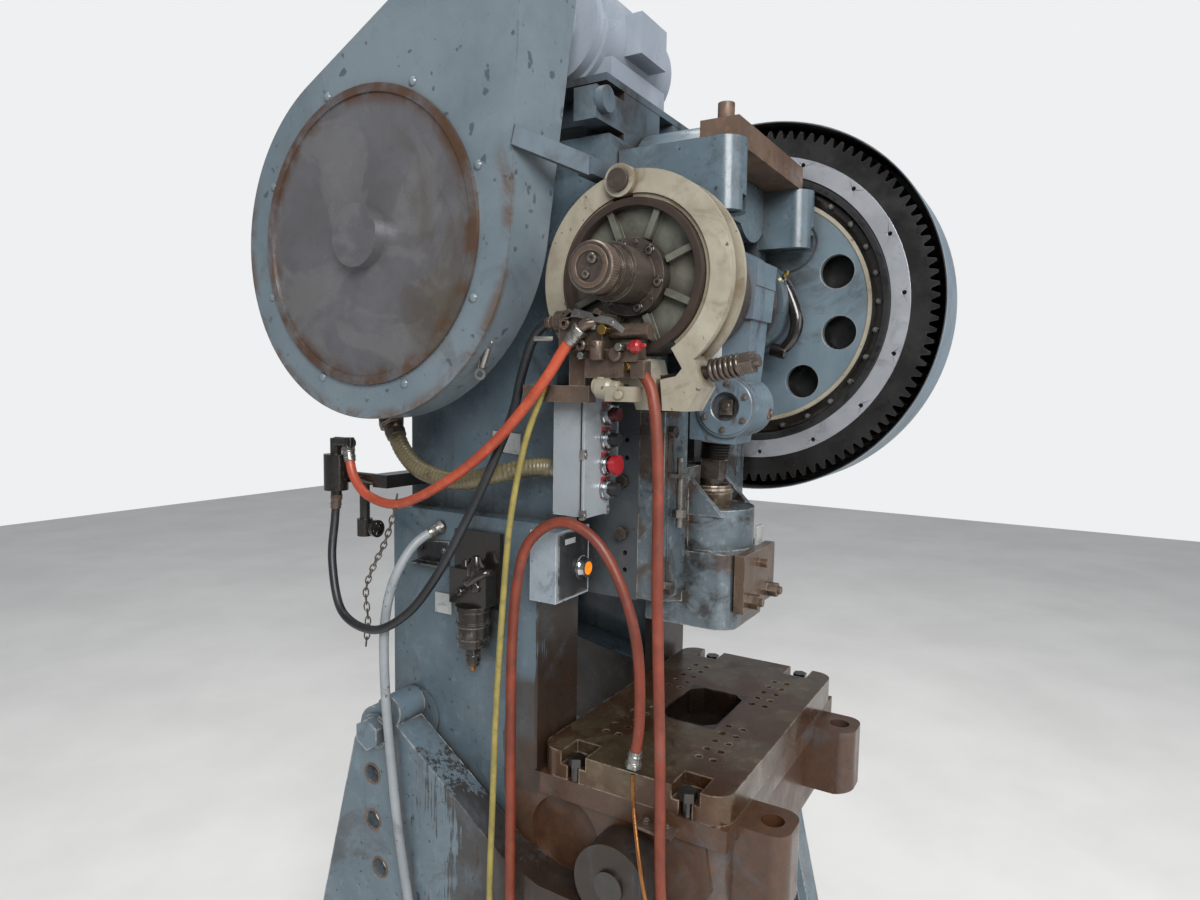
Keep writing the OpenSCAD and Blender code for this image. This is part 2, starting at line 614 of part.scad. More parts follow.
// Bolster
module bolster_plate() color(brown) in_place() difference() {
  translate([0, 0, bolster_z]) linear_extrude(bolster_t) {
    square([2 * bolster_half, 2 * (bolster_deep - bolster_r)], center = true);
    square([2 * (bolster_half - bolster_r), 2 * bolster_deep], center = true);
    for (x = [-1, 1], y = [-1, 1]) disc([x * (bolster_half - bolster_r), y * (bolster_deep - bolster_r)],
        bolster_r);
  }
  translate([0, 0, bed_top - 1]) linear_extrude(bolster_t + 5) polygon([[-hole_half_x, -hole_half_y + 25],
    [-hole_half_x + 25, -hole_half_y], [hole_half_x - 25, -hole_half_y], [hole_half_x, -hole_half_y + 25],
    [hole_half_x, hole_half_y - 25], [hole_half_x - 25, hole_half_y], [-hole_half_x + 25, hole_half_y],
    [-hole_half_x, hole_half_y - 25]]);
  for (s = [-1, 1], y = [-120, 120])
    translate([s * bolster_half, y, bolster_z]) {
      translate([-24, -13, -1]) cube([48, 26, bolster_t + 2]);
      translate([-60, -28, bolster_t - 26]) cube([120, 56, 40]);
    }
  for (p = tap_rows, m = [-1, 1], n = [-1, 1])
    translate([m * (p[0] - 120), n * p[1], bolster_top - 30]) cylinder(r = tap_r, h = 31, $fn = 24);
}
module hold_down_bolts() color(steel) in_place() for (s = [-1, 1], y = [-120, 120]) {
  rod_z(11, bed_top + 1, bolster_top - 25, s * (bolster_half - 12), y);
  hex_z(30, bolster_top - 25.8, bolster_top - 8, s * (bolster_half - 12), y);
}

// Brake on the left end of the crankshaft
module arc(r0, r1, a0, a1) difference() {
  disc([0, crank_z], r1);
  disc([0, crank_z], r0);
  translate([0, crank_z]) polygon(concat([[0, 0]], [for (a = [a1 : 15 : a0 + 360]) 400 * [cos(a), sin(a)]],
    [400 * [cos(a0), sin(a0)]]));
}
module brake_shoe(a0, a1) {
  side(-shoe_x, -shoe_x + shoe_w) arc(lining_r + 8.2, shoe_r - 14, a0, a1);
  side(-shoe_x, -shoe_x + 12) arc(lining_r + 8.2, shoe_r, a0, a1);
  side(-shoe_x + shoe_w - 12, -shoe_x + shoe_w) arc(lining_r + 8.2, shoe_r, a0, a1);
  side(-shoe_x + 4, -shoe_x + shoe_w - 4) arc(lining_r + 0.3, lining_r + 8.3, a0 + 4, a1 - 4);
}
module brake_front_shoe() color(cream) in_place() difference() {
  union() {
    brake_shoe(84, 238);
    side(-shoe_x, -shoe_x + shoe_w) polygon([[-118, crank_z - 136], [-88, crank_z - 172], [-58,
        crank_z - 178],
      [-64, crank_z - 232], [-112, crank_z - 232], [-136, crank_z - 190]]);
    rod_x(pivot_r, -shoe_x - 12, -shoe_x + 24, 25, pivot_z);
  }
  rod_x(pivot_r + 0.3, -shoe_x + 24.5, -shoe_x + shoe_w + 1, 25, pivot_z);
  rod_x(14 + seat_gap, -shoe_x - 13, -shoe_x + shoe_w + 1, 25, pivot_z);
  translate([-shoe_x + shoe_w / 2, -103, crank_z - 170]) rotate([78, 0, 0]) cylinder(r = 12.5, h = 300,
      center = true);
}
module brake_rear_shoe() color(cream) in_place() difference() {
  union() {
    brake_shoe(-104, 76);
    side(-shoe_x, -shoe_x + shoe_w) polygon([[-30, crank_z - 150], [10, crank_z - 170], [-12, crank_z - 232],
      [-48, crank_z - 232], [-50, crank_z - 176]]);
    rod_x(pivot_r, -shoe_x + 26, -shoe_x + shoe_w, 25, pivot_z);
  }
  rod_x(14 + seat_gap, -shoe_x - 13, -shoe_x + shoe_w + 1, 25, pivot_z);
  rod_x(pivot_r + 0.3, -shoe_x - 13, -shoe_x + 25, 25, pivot_z);
  translate([-shoe_x + shoe_w / 2, -103, crank_z - 170]) rotate([78, 0, 0]) cylinder(r = 12.5, h = 300,
      center = true);
}
module brake_studs() color(steel) in_place() {
  rod_x(14, -shoe_x - 20, -bearing_left + 29.8, 25, pivot_z);
  rod_x(20, -shoe_x - 20, -shoe_x - 12.2, 25, pivot_z);
  translate([-shoe_x + shoe_w / 2, -103, crank_z - 170]) rotate([78, 0, 0]) {
    translate([0, 0, -90]) cylinder(r = 11, h = 216);
    translate([0, 0, 94]) cylinder(d = 36 / cos(30), h = 22, $fn = 6);
    for (k = [0 : 5]) translate([0, 0, 41.9 + 9.45 * k]) rotate_extrude() translate([16, 0]) circle(4.6,
        $fn = 24);
  }
}
module brake_strap() color(black) in_place() {
  difference() {
    translate([-390, 82, crank_z + 197]) rotate([0, 0, 58.9]) rotate([11.8, 0, 0]) block([-5, 0, -17],
        [5, 150, 17]);
    side(-600, -300) wrapped(fly_c, guard_r + 0.2, mot_c, guard_top_r + 0.2);
  }
  block([-396, 72, crank_z + 182], [-bearing_left - 0.1, 102, crank_z + 212]);
}

// Guard over flywheel and belts, and over the gears
module flywheel_guard() color(blue) in_place() difference() {
  side(-guard_left, -300) wrapped(fly_c, guard_r, mot_c, guard_top_r);
  side(-guard_left + sheet, -290) wrapped(fly_c, guard_r - sheet, mot_c, guard_top_r - sheet);
  side(-guard_left - 1, -guard_left + sheet + 1) disc(fly_c, dish_r - 8);
  translate([-guard_left + guard_deep, 0, bs_z]) rotate([0, 7.2, 0]) block([0, -100, -800], [500, 1200, 800]);
}
module guard_door() color([0.45, 0.47, 0.48]) in_place() {
  difference() {
    rod_x(door_r, -guard_left - 8, -guard_left - 0.2, bs_y, bs_z);
    rod_x(dish_r, -guard_left - 9, -guard_left - 4, bs_y, bs_z);
  }
  rod_x(cap_r, -cap_end, -guard_left - 3.9, bs_y, bs_z);
}
module guard_screws() color(steel) in_place() for (k = [0 : 7])
  translate([-guard_left, bs_y + door_screws_at * cos(25 + 45 * k), bs_z + door_screws_at * sin(25 + 45 * k)])
    rotate([0, -90, 0]) intersection() {
      translate([0, 0, 0.2]) cylinder(r = 9, h = 6);
      translate([0, 0, -5]) sphere(11);
    }
module gear_guard() color(black) in_place() difference() {
  union() {
    side(gear_guard_out - sheet, gear_guard_out) wrapped([0, crank_z], gear_guard_r, fly_c, pinion_guard_r);
    side(head_right + 1, gear_guard_out) difference() {
      wrapped([0, crank_z], gear_guard_r, fly_c, pinion_guard_r);
      wrapped([0, crank_z], gear_guard_r - sheet, fly_c, pinion_guard_r - sheet);
    }
    side(head_right + 0.2, head_right + 7) difference() {
      intersection() {
        wrapped([0, crank_z], gear_guard_r, fly_c, pinion_guard_r);
        translate([throat_y - 60, crank_z - 380]) square([170, 90]);
      }
      disc([0, crank_z], 330);
    }
  }
}

// Motor and its base
module motor_base() color(blue) in_place() {
  block([-305, 100, motor_z - 132], [67, 400, motor_z - 118]);
  block([-235, 101, motor_z - 223.8], [-83, 190, motor_z - 132]);
  block([-20, 101, motor_z - 223.8], [67, 190, motor_z - 132]);
  block([-235, 300, motor_z - 180], [67, 400, motor_z - 132]);
  for (x = [-235, 7]) front(190, 300) translate([x, motor_z - 180]) square([60, 48]);
  block([-340, 101, motor_z - 210], [-235, 150, motor_z - 150]);
  rod_y(24, 85, 101, -322, motor_z - 174);
}
module motor_body() color(blue) in_place() {
  x0 = -motor_left;
  rod_x(motor_r, x0 + 34, x0 + motor_l - 30, motor_y, motor_z);
  rod_x(motor_r - 8, x0 + 8, x0 + motor_l, motor_y, motor_z);
  rod_x(60, x0, x0 + 9, motor_y, motor_z);
  for (s = [-1, 1]) block([x0 + 50, motor_y + s * 95 - 22, motor_z - 117.9], [x0 + motor_l - 50,
      motor_y + s * 95 + 22, motor_z - 60]);
  block([x0 + 110, motor_y - 150, motor_z - 40], [x0 + 220, motor_y - 90, motor_z + 40]);
}
module v_belts() color(black) in_place() for (k = [0 : 2])
  side(flywheel_x + 15 + k * 21, flywheel_x + 15 + k * 21 + belt_w) difference() {
    wrapped(fly_c, flywheel_r + 0.4 + belt_t, mot_c, sheave_r + 0.4 + belt_t);
    wrapped(fly_c, flywheel_r + 0.4, mot_c, sheave_r + 0.4);
  }

// Control boxes
module control_box() color([0.5, 0.54, 0.55]) in_place() {
  difference() {
    block([-box_left, box_front + 6, box_z], [-box_left + box_w, box_front + box_d, box_z + box_h]);
    block([-box_left + 4, box_front, box_z + 4], [-box_left + box_w - 4, box_front + box_d - 4,
        box_z + box_h - 4]);
  }
  difference() {
    block([-box_left - 2, box_front, box_z - 2], [-box_left + box_w + 2, box_front + 6, box_z + box_h + 2]);
    for (k = [0 : 3]) rod_y(button_r + 0.4, box_front - 1, box_front + 7, button_x,
        top_button_z - button_pitch * k);
  }
  difference() {
    block([-box_left + 20, box_front + box_d, box_z + 30], [-housing_x - 0.2, box_front + box_d + 6,
        box_z + box_h - 30]);
    rod_y(20.5, box_front, box_front + box_d + 10, conduit_x, conduit_z);
  }
  block([-housing_x - 6.2, box_front + 20, box_z + 30], [-housing_x - 0.2, box_front + box_d + 6,
      box_z + box_h - 30]);
}
module operator_rings() color([0.8, 0.8, 0.8]) in_place() {
  for (k = [0 : 3]) difference() {
    rod_y(button_r + 6, box_front - 12, box_front, button_x, top_button_z - button_pitch * k);
    rod_y(button_r + 0.4, box_front - 13, box_front + 1, button_x, top_button_z - button_pitch * k);
  }
  difference() {
    rod_y(button_r + 6, box_front + 50, box_front + 62, small_x - 29, side_button_z);
    rod_y(button_r + 0.4, box_front + 49, box_front + 63, small_x - 29, side_button_z);
  }
}
module button(k, head) {
  z = top_button_z - button_pitch * k;
  rod_y(button_r, box_front - 18, box_front + 1.9, button_x, z);
  rod_y(head, box_front - 30, box_front - 17.9, button_x, z);
}
module top_button() color([0.45, 0.06, 0.06]) in_place() button(0, button_r);
module second_button() color(black) in_place() button(1, button_r);
module stop_button() color([0.75, 0.1, 0.1]) in_place() button(2, button_r + 6);
module fourth_button() color(black) in_place() button(3, button_r);
module side_button() color([1, 0.45, 0.1]) in_place() rod_y(button_r, box_front + 44, box_front + 67,
    small_x - 29, side_button_z);
module small_box() color([0.55, 0.56, 0.55]) in_place() {
  difference() {
    block([-box_left, box_front + 68, small_z], [small_x, throat_y - 0.5, small_z + 139]);
    block([-box_left + 4, box_front + 61, small_z + 4], [small_x - 4, throat_y - 5, small_z + 135]);
  }
  difference() {
    block([-box_left, box_front + 62, small_z], [small_x, box_front + 68, small_z + 139]);
    rod_y(button_r + 0.4, box_front + 61, box_front + 69, small_x - 29, side_button_z);
  }
  block([small_x - 0.5, throat_y - 7, small_z + 11], [-housing_x - 2, throat_y - 0.5, small_z + 166]);
}

// Valves, lubricator and air line
module valve_block() color(brown) in_place() {
  block([valve_x, 20, valve_z], [valve_x + 49, 110, valve_z + 62]);
  block([valve_x + 8, -18, valve_z - 48], [valve_x + 46, 60, valve_z + 1]);
  rod_y(20, 110, 128, valve_x + 25, valve_z + 52);
  rod_y(14, -58, 20, valve_x + 28, valve_z + 32);
  block([valve_x + 24, 60, valve_z - 92], [valve_x + 48, throat_y - 7, valve_z - 62]);
  block([valve_x + 24, throat_y - 40, valve_z - 92], [-housing_x - 0.1, throat_y - 7, valve_z - 62]);
  block([valve_x + 26, 70, valve_z - 70], [valve_x + 44, 104, valve_z + 2]);
}
module lubricator() color(black) in_place() {
  block([-frame_half - 12, oiler_y - 50, shoulder_z - 185], [-frame_half - 0.2, oiler_y + 70,
      shoulder_z - 30]);
  block([-frame_half - 51, oiler_y - 45, shoulder_z - 175], [-frame_half - 12, oiler_y + 50,
      shoulder_z - 102]);
  rod_z(33, shoulder_z - 260, shoulder_z - 174.9, -frame_half - 35, oiler_y);
  rod_z(14, shoulder_z - 302, shoulder_z - 260, -frame_half - 35, oiler_y);
}
module air_manifold() color([0.2, 0.22, 0.22]) in_place() {
  rod_z(26, stand_z, stand_z + 79, stand_x, stand_y);
  rod_z(12, stand_z - 16.5, stand_z + 114, stand_x, stand_y);
  rod_y(12, stand_y - 50, stand_y, stand_x, stand_z + 105);
  rod_z(12, stand_z + 91.5, stand_z + 117, stand_x, stand_y - 40);
  rod_y(13, rear_y - 48, stand_y, pipe_x, stand_z + 27);
  rod_z(11, stand_z - 71, stand_z + 27, pipe_x, stand_y - 60);
  rod_z(17, stand_z - 99, stand_z - 61, pipe_x, stand_y - 60);
  block([pipe_x - 16, rear_y - 52, stand_z + 13], [-bearing_left - 0.2, rear_y - 10, stand_z + 41]);
}
module valve_wheel() color(black) in_place() {
  difference() {
    rod_y(19, stand_y - 100, stand_y - 90, pipe_x, stand_z - 80);
    rod_y(14, stand_y - 101, stand_y - 89, pipe_x, stand_z - 80);
  }
  for (a = [0, 60, 120]) translate([pipe_x, stand_y - 95, stand_z - 80]) rotate([0, a, 0])
    cube([32, 5, 5], center = true);
  rod_y(5, stand_y - 102, stand_y - 77.2, pipe_x, stand_z - 80);
}

// Knock-out gear on the left gib and bar on the lugs
module knockout_gear() color(steel) in_place() {
  y = housing_y - 75;
  rod_z(7, ball_z + 18, ball_z + 158, -184, y);
  hex_z(24, ball_z + 38, ball_z + 54, -184, y);
  block([-202, y - 10, ball_z + 118], [-166, housing_y - 57.2, ball_z + 126]);
  block([-202, y - 10, ball_z + 118], [-196, y - 4, ball_z + 150]);
}
module cross_bar() color(brown) in_place() {
  block([-200, -122, crank_z + 261.2], [205, -44, crank_z + 311]);
  rod_z(16, crank_z + 311, crank_z + 345, -170, -84);
}

// Hoses and conduits
module drop_hose() color([0.7, 0.25, 0.2]) in_place() tube(drop_route, 10, 6);
module loop_hose() color([0.7, 0.25, 0.2]) in_place() tube(loop_route, 10, 5);
module orange_hose() color([0.8, 0.3, 0.15]) in_place() tube(orange_route, 10, 5);
module black_hose() color(black) in_place() tube(black_route, 9, 5);
module yellow_hose() color([0.75, 0.65, 0.15]) in_place() tube(yellow_route, 6, 7);
module grey_conduit() color([0.6, 0.63, 0.63]) in_place() tube(grey_route, 10, 6);
module olive_conduit() color([0.35, 0.33, 0.22]) in_place() tube(olive_route, 19, 6);
module copper_tube() color([0.75, 0.45, 0.25]) in_place() tube(copper_route, 4, 8);

// Crankshaft group
module crankshaft() color(brown) in_place() {
  rod_x(journal_r, -bearing_left - 0.5, -big_end_half - web_t, 0, crank_z);
  rod_x(journal_r, big_end_half + web_t, gear_x + gear_w, 0, crank_z);
  rod_x(pin_r, -big_end_half - 3, big_end_half + 3, pin_y, pin_z);
  for (s = [-1, 1]) translate([s * (big_end_half + 1.5 + web_t / 2), 0, 0])
    rod_x(web_r, -web_t / 2, web_t / 2, 0, crank_z);
  rod_x(38, -crank_left + 38, -bearing_left, 0, crank_z);
}
module brake_drum() color(brown) in_place() {
  difference() {
    rod_x(drum_r, -drum_x, -drum_x + drum_w, 0, crank_z);
    rod_x(drum_r - 14, -drum_x - 1, -drum_x + drum_w + 1, 0, crank_z);
  }
  difference() {
    union() {
      rod_x(drum_r - 13, -drum_x + 22, -drum_x + 36, 0, crank_z);
      for (k = [0 : 7]) translate([0, 0, crank_z]) rotate([22.5 + 45 * k, 0, 0])
        block([-drum_x + 6, hub_r + 2, -6], [-drum_x + 23, drum_r - 12, 6]);
    }
    rod_x(hub_r - 20, -drum_x, -drum_x + 40, 0, crank_z);
  }
}
module drum_hub() color(brown) in_place() difference() {
  union() {
    rod_x(hub_r, -drum_x - 4, -drum_x + 21.8, 0, crank_z);
    rod_x(hub_r - 20.2, -drum_x + 21, -drum_x + drum_w, 0, crank_z);
    rod_x(50, -drum_x - 70, -drum_x - 4, 0, crank_z);
    rod_x(44, -drum_x - 96, -drum_x - 70, 0, crank_z);
    rod_x(40, -crank_left, -drum_x - 96, 0, crank_z);
  }
  rod_x(38 + seat_gap, -crank_left + 37.5, 0, 0, crank_z);
}
module clutch_spider() color(blue) in_place() difference() {
  union() {
    rod_x(spider_r, spider_x, spider_x + spider_t, 0, crank_z);
    rod_x(92, gear_x - 8, spider_x + 34, 0, crank_z);
  }
  rod_x(journal_r + seat_gap, 200, 400, 0, crank_z);
  for (k = [0 : 8]) translate([0, 0, crank_z]) rotate([156 + 40 * k, 0, 0])
    rod_x(spider_hole_r, spider_x - 1, spider_x + spider_t + 1, spider_hole_at, 0);
}
module bull_gear() color(black) in_place() {
  difference() {
    side(gear_x + 3, gear_x + gear_w) translate([0, crank_z]) rotate(backshaft_angle)
        polygon(teeth(gear_teeth,
      [gear_root, gear_root + 7, gear_root + 13, gear_tip]));
    rod_x(ring_in + 0.5, gear_x, gear_x + gear_w - 16, 0, crank_z);
    rod_x(gear_bore + run_gap, gear_x, gear_x + gear_w + 1, 0, crank_z);
    rod_x(ring_out + 0.3, gear_x, gear_x + ring_t + 0.2, 0, crank_z);
  }
}
module clutch_ring() color([0.7, 0.7, 0.68]) in_place() difference() {
  rod_x(ring_out, gear_x, gear_x + ring_t, 0, crank_z);
  rod_x(ring_in, gear_x - 1, gear_x + ring_t + 1, 0, crank_z);
  for (k = [0 : 15]) translate([0, 0, crank_z]) rotate([175.7 + 22.5 * k, 0, 0])
    rod_x(5, gear_x - 1, gear_x + ring_t + 1, 347, 0);
}
module clutch_tube() color(black) in_place() difference() {
  rod_x(ring_in - 0.3, gear_x + 4, gear_x + gear_w - 16.3, 0, crank_z);
  rod_x(tube_in, gear_x, gear_x + gear_w, 0, crank_z);
}
module clutch_bolts() color(steel) in_place() {
  for (k = [0 : 27]) translate([0, 0, crank_z]) rotate([177.8 + 360 / 28 * k, 0, 0])
    hex_x(13, spider_x - 8, spider_x - 0.1, spider_r - 9.5, 0);
  // bearing ring that the gear turns on
  difference() {
    rod_x(gear_bore, gear_x + gear_w - 18, gear_x + gear_w, 0, crank_z);
    rod_x(journal_r + seat_gap, gear_x, gear_x + gear_w + 1, 0, crank_z);
  }
}

// Backshaft group
module flywheel() color([0.3, 0.32, 0.33]) in_place() difference() {
  union() {
    difference() {
      rod_x(flywheel_r, flywheel_x, flywheel_x + flywheel_w, bs_y, bs_z);
      rod_x(flywheel_r - 62, flywheel_x - 1, flywheel_x + 1 + flywheel_w, bs_y, bs_z);
    }
    rod_x(flywheel_r - 61, flywheel_x + 30, flywheel_x + 60, bs_y, bs_z);
    rod_x(78, flywheel_x, flywheel_x + flywheel_w, bs_y, bs_z);
  }
  rod_x(backshaft_r + seat_gap, flywheel_x - 5, flywheel_x + 195, bs_y, bs_z);
}
module backshaft() color(steel) in_place() {
  rod_x(backshaft_r, flywheel_x - 5, gear_x + 3, bs_y, bs_z);
  side(gear_x + 3, gear_x + gear_w) translate([bs_y, bs_z])
    rotate(backshaft_angle + 180 + 180 / pinion_teeth) polygon(teeth(pinion_teeth,
        [gear_module * (pinion_teeth / 2 - 1.25),
      gear_module * (pinion_teeth / 2 - 0.6), gear_module * pinion_teeth / 2,
      gear_module * (pinion_teeth / 2 + 0.5), gear_module * (pinion_teeth / 2 + 1)]));
}
module motor_sheave() color(steel) in_place() {
  rod_x(sheave_r, flywheel_x + 8, flywheel_x + 83, motor_y, motor_z);
  rod_x(21, flywheel_x + 82.9, -motor_left - 0.3, motor_y, motor_z);
}

// Connection between crankpin and slide
module connection_rod() color(blue) in_place() at_rod() difference() {
  union() {
    rod_x(76, -big_end_half, big_end_half, 0, 0);
    block([-big_end_half, -76, -68], [big_end_half, 76, 0]);
    side(-50, 50) polygon([[-70, -60], [60, -60], [52, -210], [42, -330], [-60, -330], [-70, -180]]);
    rod_z(50, -332, -190, 0, 0);
    rod_x(worm_r, -big_end_half, big_end_half, -36, -252);
  }
  block([-big_end_half - 1, -200, 0], [big_end_half + 1, 200, 200]);
  rod_x(pin_r + run_gap, -100, 100, 0, 0);
  rod_z(screw_r + seat_gap, -340, -150, 0, 0);
  rod_x(30, -big_end_half - 1, -big_end_half + 16, -36, -252);
}
module connection_cap() color(blue) in_place() at_rod() difference() {
  union() {
    block([-big_end_half, -76, 0.2], [big_end_half, 76, 50]);
    rod_x(78, -big_end_half, big_end_half, 0, 0);
    rod_z(17, 60, 86, 0, 0);
  }
  block([-big_end_half - 1, -200, -200], [big_end_half + 1, 200, 0.2]);
  rod_x(pin_r + run_gap, -100, 100, 0, 0);
}
module adjusting_screw() color(steel) in_place() at_rod() {
  sz = -rod_length;
  translate([0, 0, sz]) sphere(ball_r);
  rod_z(24, sz + 20, sz + 101, 0, 0);
  block([-22, -22, sz + 100], [22, 22, sz + 142]);
  rod_z(screw_r, sz + 142, -160, 0, 0);
}

// Slide
module slide() color(brown) in_place() difference() {
  union() {
    block([-slide_half, -slide_front + 40, slide_z], [slide_half, slide_back, slide_z + 160]);
    block([-slide_half + 40, -slide_front, slide_z], [slide_half - 40, slide_back, slide_z + 160]);
    for (s = [-1, 1]) rod_z(40, slide_z, slide_z + 160, s * (slide_half - 40), -slide_front + 40);
    rod_z(92, slide_z + 155, slide_top, 0, -slide_front + 92);
    block([-92, -slide_front + 92, slide_z + 155], [92, slide_back, slide_top]);
    block([-slide_half, 8, slide_z + 155], [slide_half, slide_back, ball_z + way_up]);
    for (s = [-1, 1]) translate([0, 0, way_z]) linear_extrude(ball_z + way_up - way_z)
      polygon([[s * (slide_half - 1), housing_y - 11 - way_out - 1], [s * (slide_half + way_out),
          housing_y - 11],
        [s * (slide_half - 1), housing_y - 11 + way_out + 1]]);
    for (s = [-1, 1]) side(s * 86 - 8, s * 86 + 8) polygon([[9, ball_z + 110], [9, ball_z + 30], [-70,
        ball_z + 30]]);
  }
  // ball seat, slot for the screw and shank hole
  block([-ball_r - 1, -50, ball_z - 60], [ball_r + 1, 81, ball_z + 28]);
  block([-33, -50, ball_z + 20], [33, 72, ball_z + way_up + 1]);
  rod_z(shank_r, slide_z - 1, slide_z + shank_deep, 0, 0);
  for (s = [-1, 1]) rod_y(9, -slide_front - 1, -slide_front + 40, s * 60, slide_z + 60);
}
module shank_clamp() color(brown) in_place() {
  block([-95, -slide_front - 22, slide_z + 38], [95, -slide_front - 0.2, slide_z + 160]);
  rod_y(9, -slide_front - 40, -slide_front - 22, 0, slide_z + 130);
  for (s = [-1, 1]) {
    rod_y(8.6, -slide_front - 52, -slide_front + 39, s * 60, slide_z + 60);
    hex_y(28, -slide_front - 44, -slide_front - 22, s * 60, slide_z + 60);
  }
}

left_leg();
right_leg();
tie_rods();
incline_bolts();
press_frame();
trunnion_pins();
bolster_plate();
hold_down_bolts();
gibs();
gib_bolts();
bronze_bushes();
brake_front_shoe();
brake_rear_shoe();
brake_studs();
brake_strap();
flywheel_guard();
guard_door();
guard_screws();
gear_guard();
motor_base();
motor_body();
v_belts();
control_box();
operator_rings();
small_box();
valve_block();
lubricator();
air_manifold();
knockout_gear();
cross_bar();
drop_hose();
loop_hose();
orange_hose();
black_hose();
yellow_hose();
grey_conduit();
olive_conduit();
copper_tube();
crankshaft();
brake_drum();
drum_hub();
clutch_spider();
bull_gear();
clutch_ring();
clutch_tube();
clutch_bolts();
flywheel();
backshaft();
motor_sheave();
connection_rod();
connection_cap();
adjusting_screw();
slide();
shank_clamp();
top_button();
second_button();
stop_button();
fourth_button();
side_button();
valve_wheel();
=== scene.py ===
# Geared stamping press: finishes, hoses and small fittings on the CAD frame.
# Shapes are placed in millimetres from the slide centre, the crankshaft axis and the floor,
# and toRow brings them into the frame's metres.
from math import cos, pi, radians, sin
import bmesh
import bpy
from mathutils import Matrix, Vector


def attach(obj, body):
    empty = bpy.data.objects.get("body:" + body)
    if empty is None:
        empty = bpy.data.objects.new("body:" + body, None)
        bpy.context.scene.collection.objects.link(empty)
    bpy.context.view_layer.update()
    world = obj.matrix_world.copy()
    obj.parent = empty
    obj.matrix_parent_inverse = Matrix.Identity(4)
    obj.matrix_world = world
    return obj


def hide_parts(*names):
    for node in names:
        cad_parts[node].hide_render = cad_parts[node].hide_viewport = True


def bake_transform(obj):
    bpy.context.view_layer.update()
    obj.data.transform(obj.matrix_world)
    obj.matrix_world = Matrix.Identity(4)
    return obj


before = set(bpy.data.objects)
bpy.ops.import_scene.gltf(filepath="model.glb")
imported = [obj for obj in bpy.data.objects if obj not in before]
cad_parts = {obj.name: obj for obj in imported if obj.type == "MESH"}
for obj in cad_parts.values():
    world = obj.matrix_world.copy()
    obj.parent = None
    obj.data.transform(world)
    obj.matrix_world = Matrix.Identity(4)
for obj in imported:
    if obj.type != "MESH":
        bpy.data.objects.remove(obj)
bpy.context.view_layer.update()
scene = bpy.context.scene
scene.view_settings.view_transform = "Standard"
origin = (0.039, -0.2335, 0)
crankAxis = (-0.2335, 1.789)
flywheelAxis = (0.2831, 1.8768)
shaftZ = 1789
toRow = Matrix.Translation(origin) @ Matrix.Scale(0.001, 4)
print("frame loaded")

# Camera at the photograph's place
camera = {"place": (-1.5585, -0.9009, 1.6), "yaw": 30.749, "pitch": 4.765, "roll": 0.941, "lens": 23.412}


def makeCamera(set):
    yaw, pitch, roll = (radians(set[key]) for key in ("yaw", "pitch", "roll"))
    ahead = Vector((cos(pitch) * cos(yaw), cos(pitch) * sin(yaw), -sin(pitch)))
    right = Vector((sin(yaw), -cos(yaw), 0))
    up = right.cross(ahead)
    rightR = cos(roll) * right + sin(roll) * up
    upR = -sin(roll) * right + cos(roll) * up
    data = bpy.data.cameras.new("camera")
    data.sensor_width, data.lens, data.clip_start, data.clip_end = 36, set["lens"], 0.05, 60
    eye = bpy.data.objects.new("camera", data)
    scene.collection.objects.link(eye)
    turn = Matrix((rightR, upR, -ahead)).transposed().to_4x4()
    eye.matrix_world = Matrix.Translation(set["place"]) @ turn
    scene.camera = eye


makeCamera(camera)
print("camera set")


# Finishes
def tone(code, alpha=1.0):
    parts = [int(code[i:i + 2], 16) / 255 for i in (1, 3, 5)]
    return [v / 12.92 if v < 0.04045 else ((v + 0.055) / 1.055) ** 2.4 for v in parts] + [alpha]


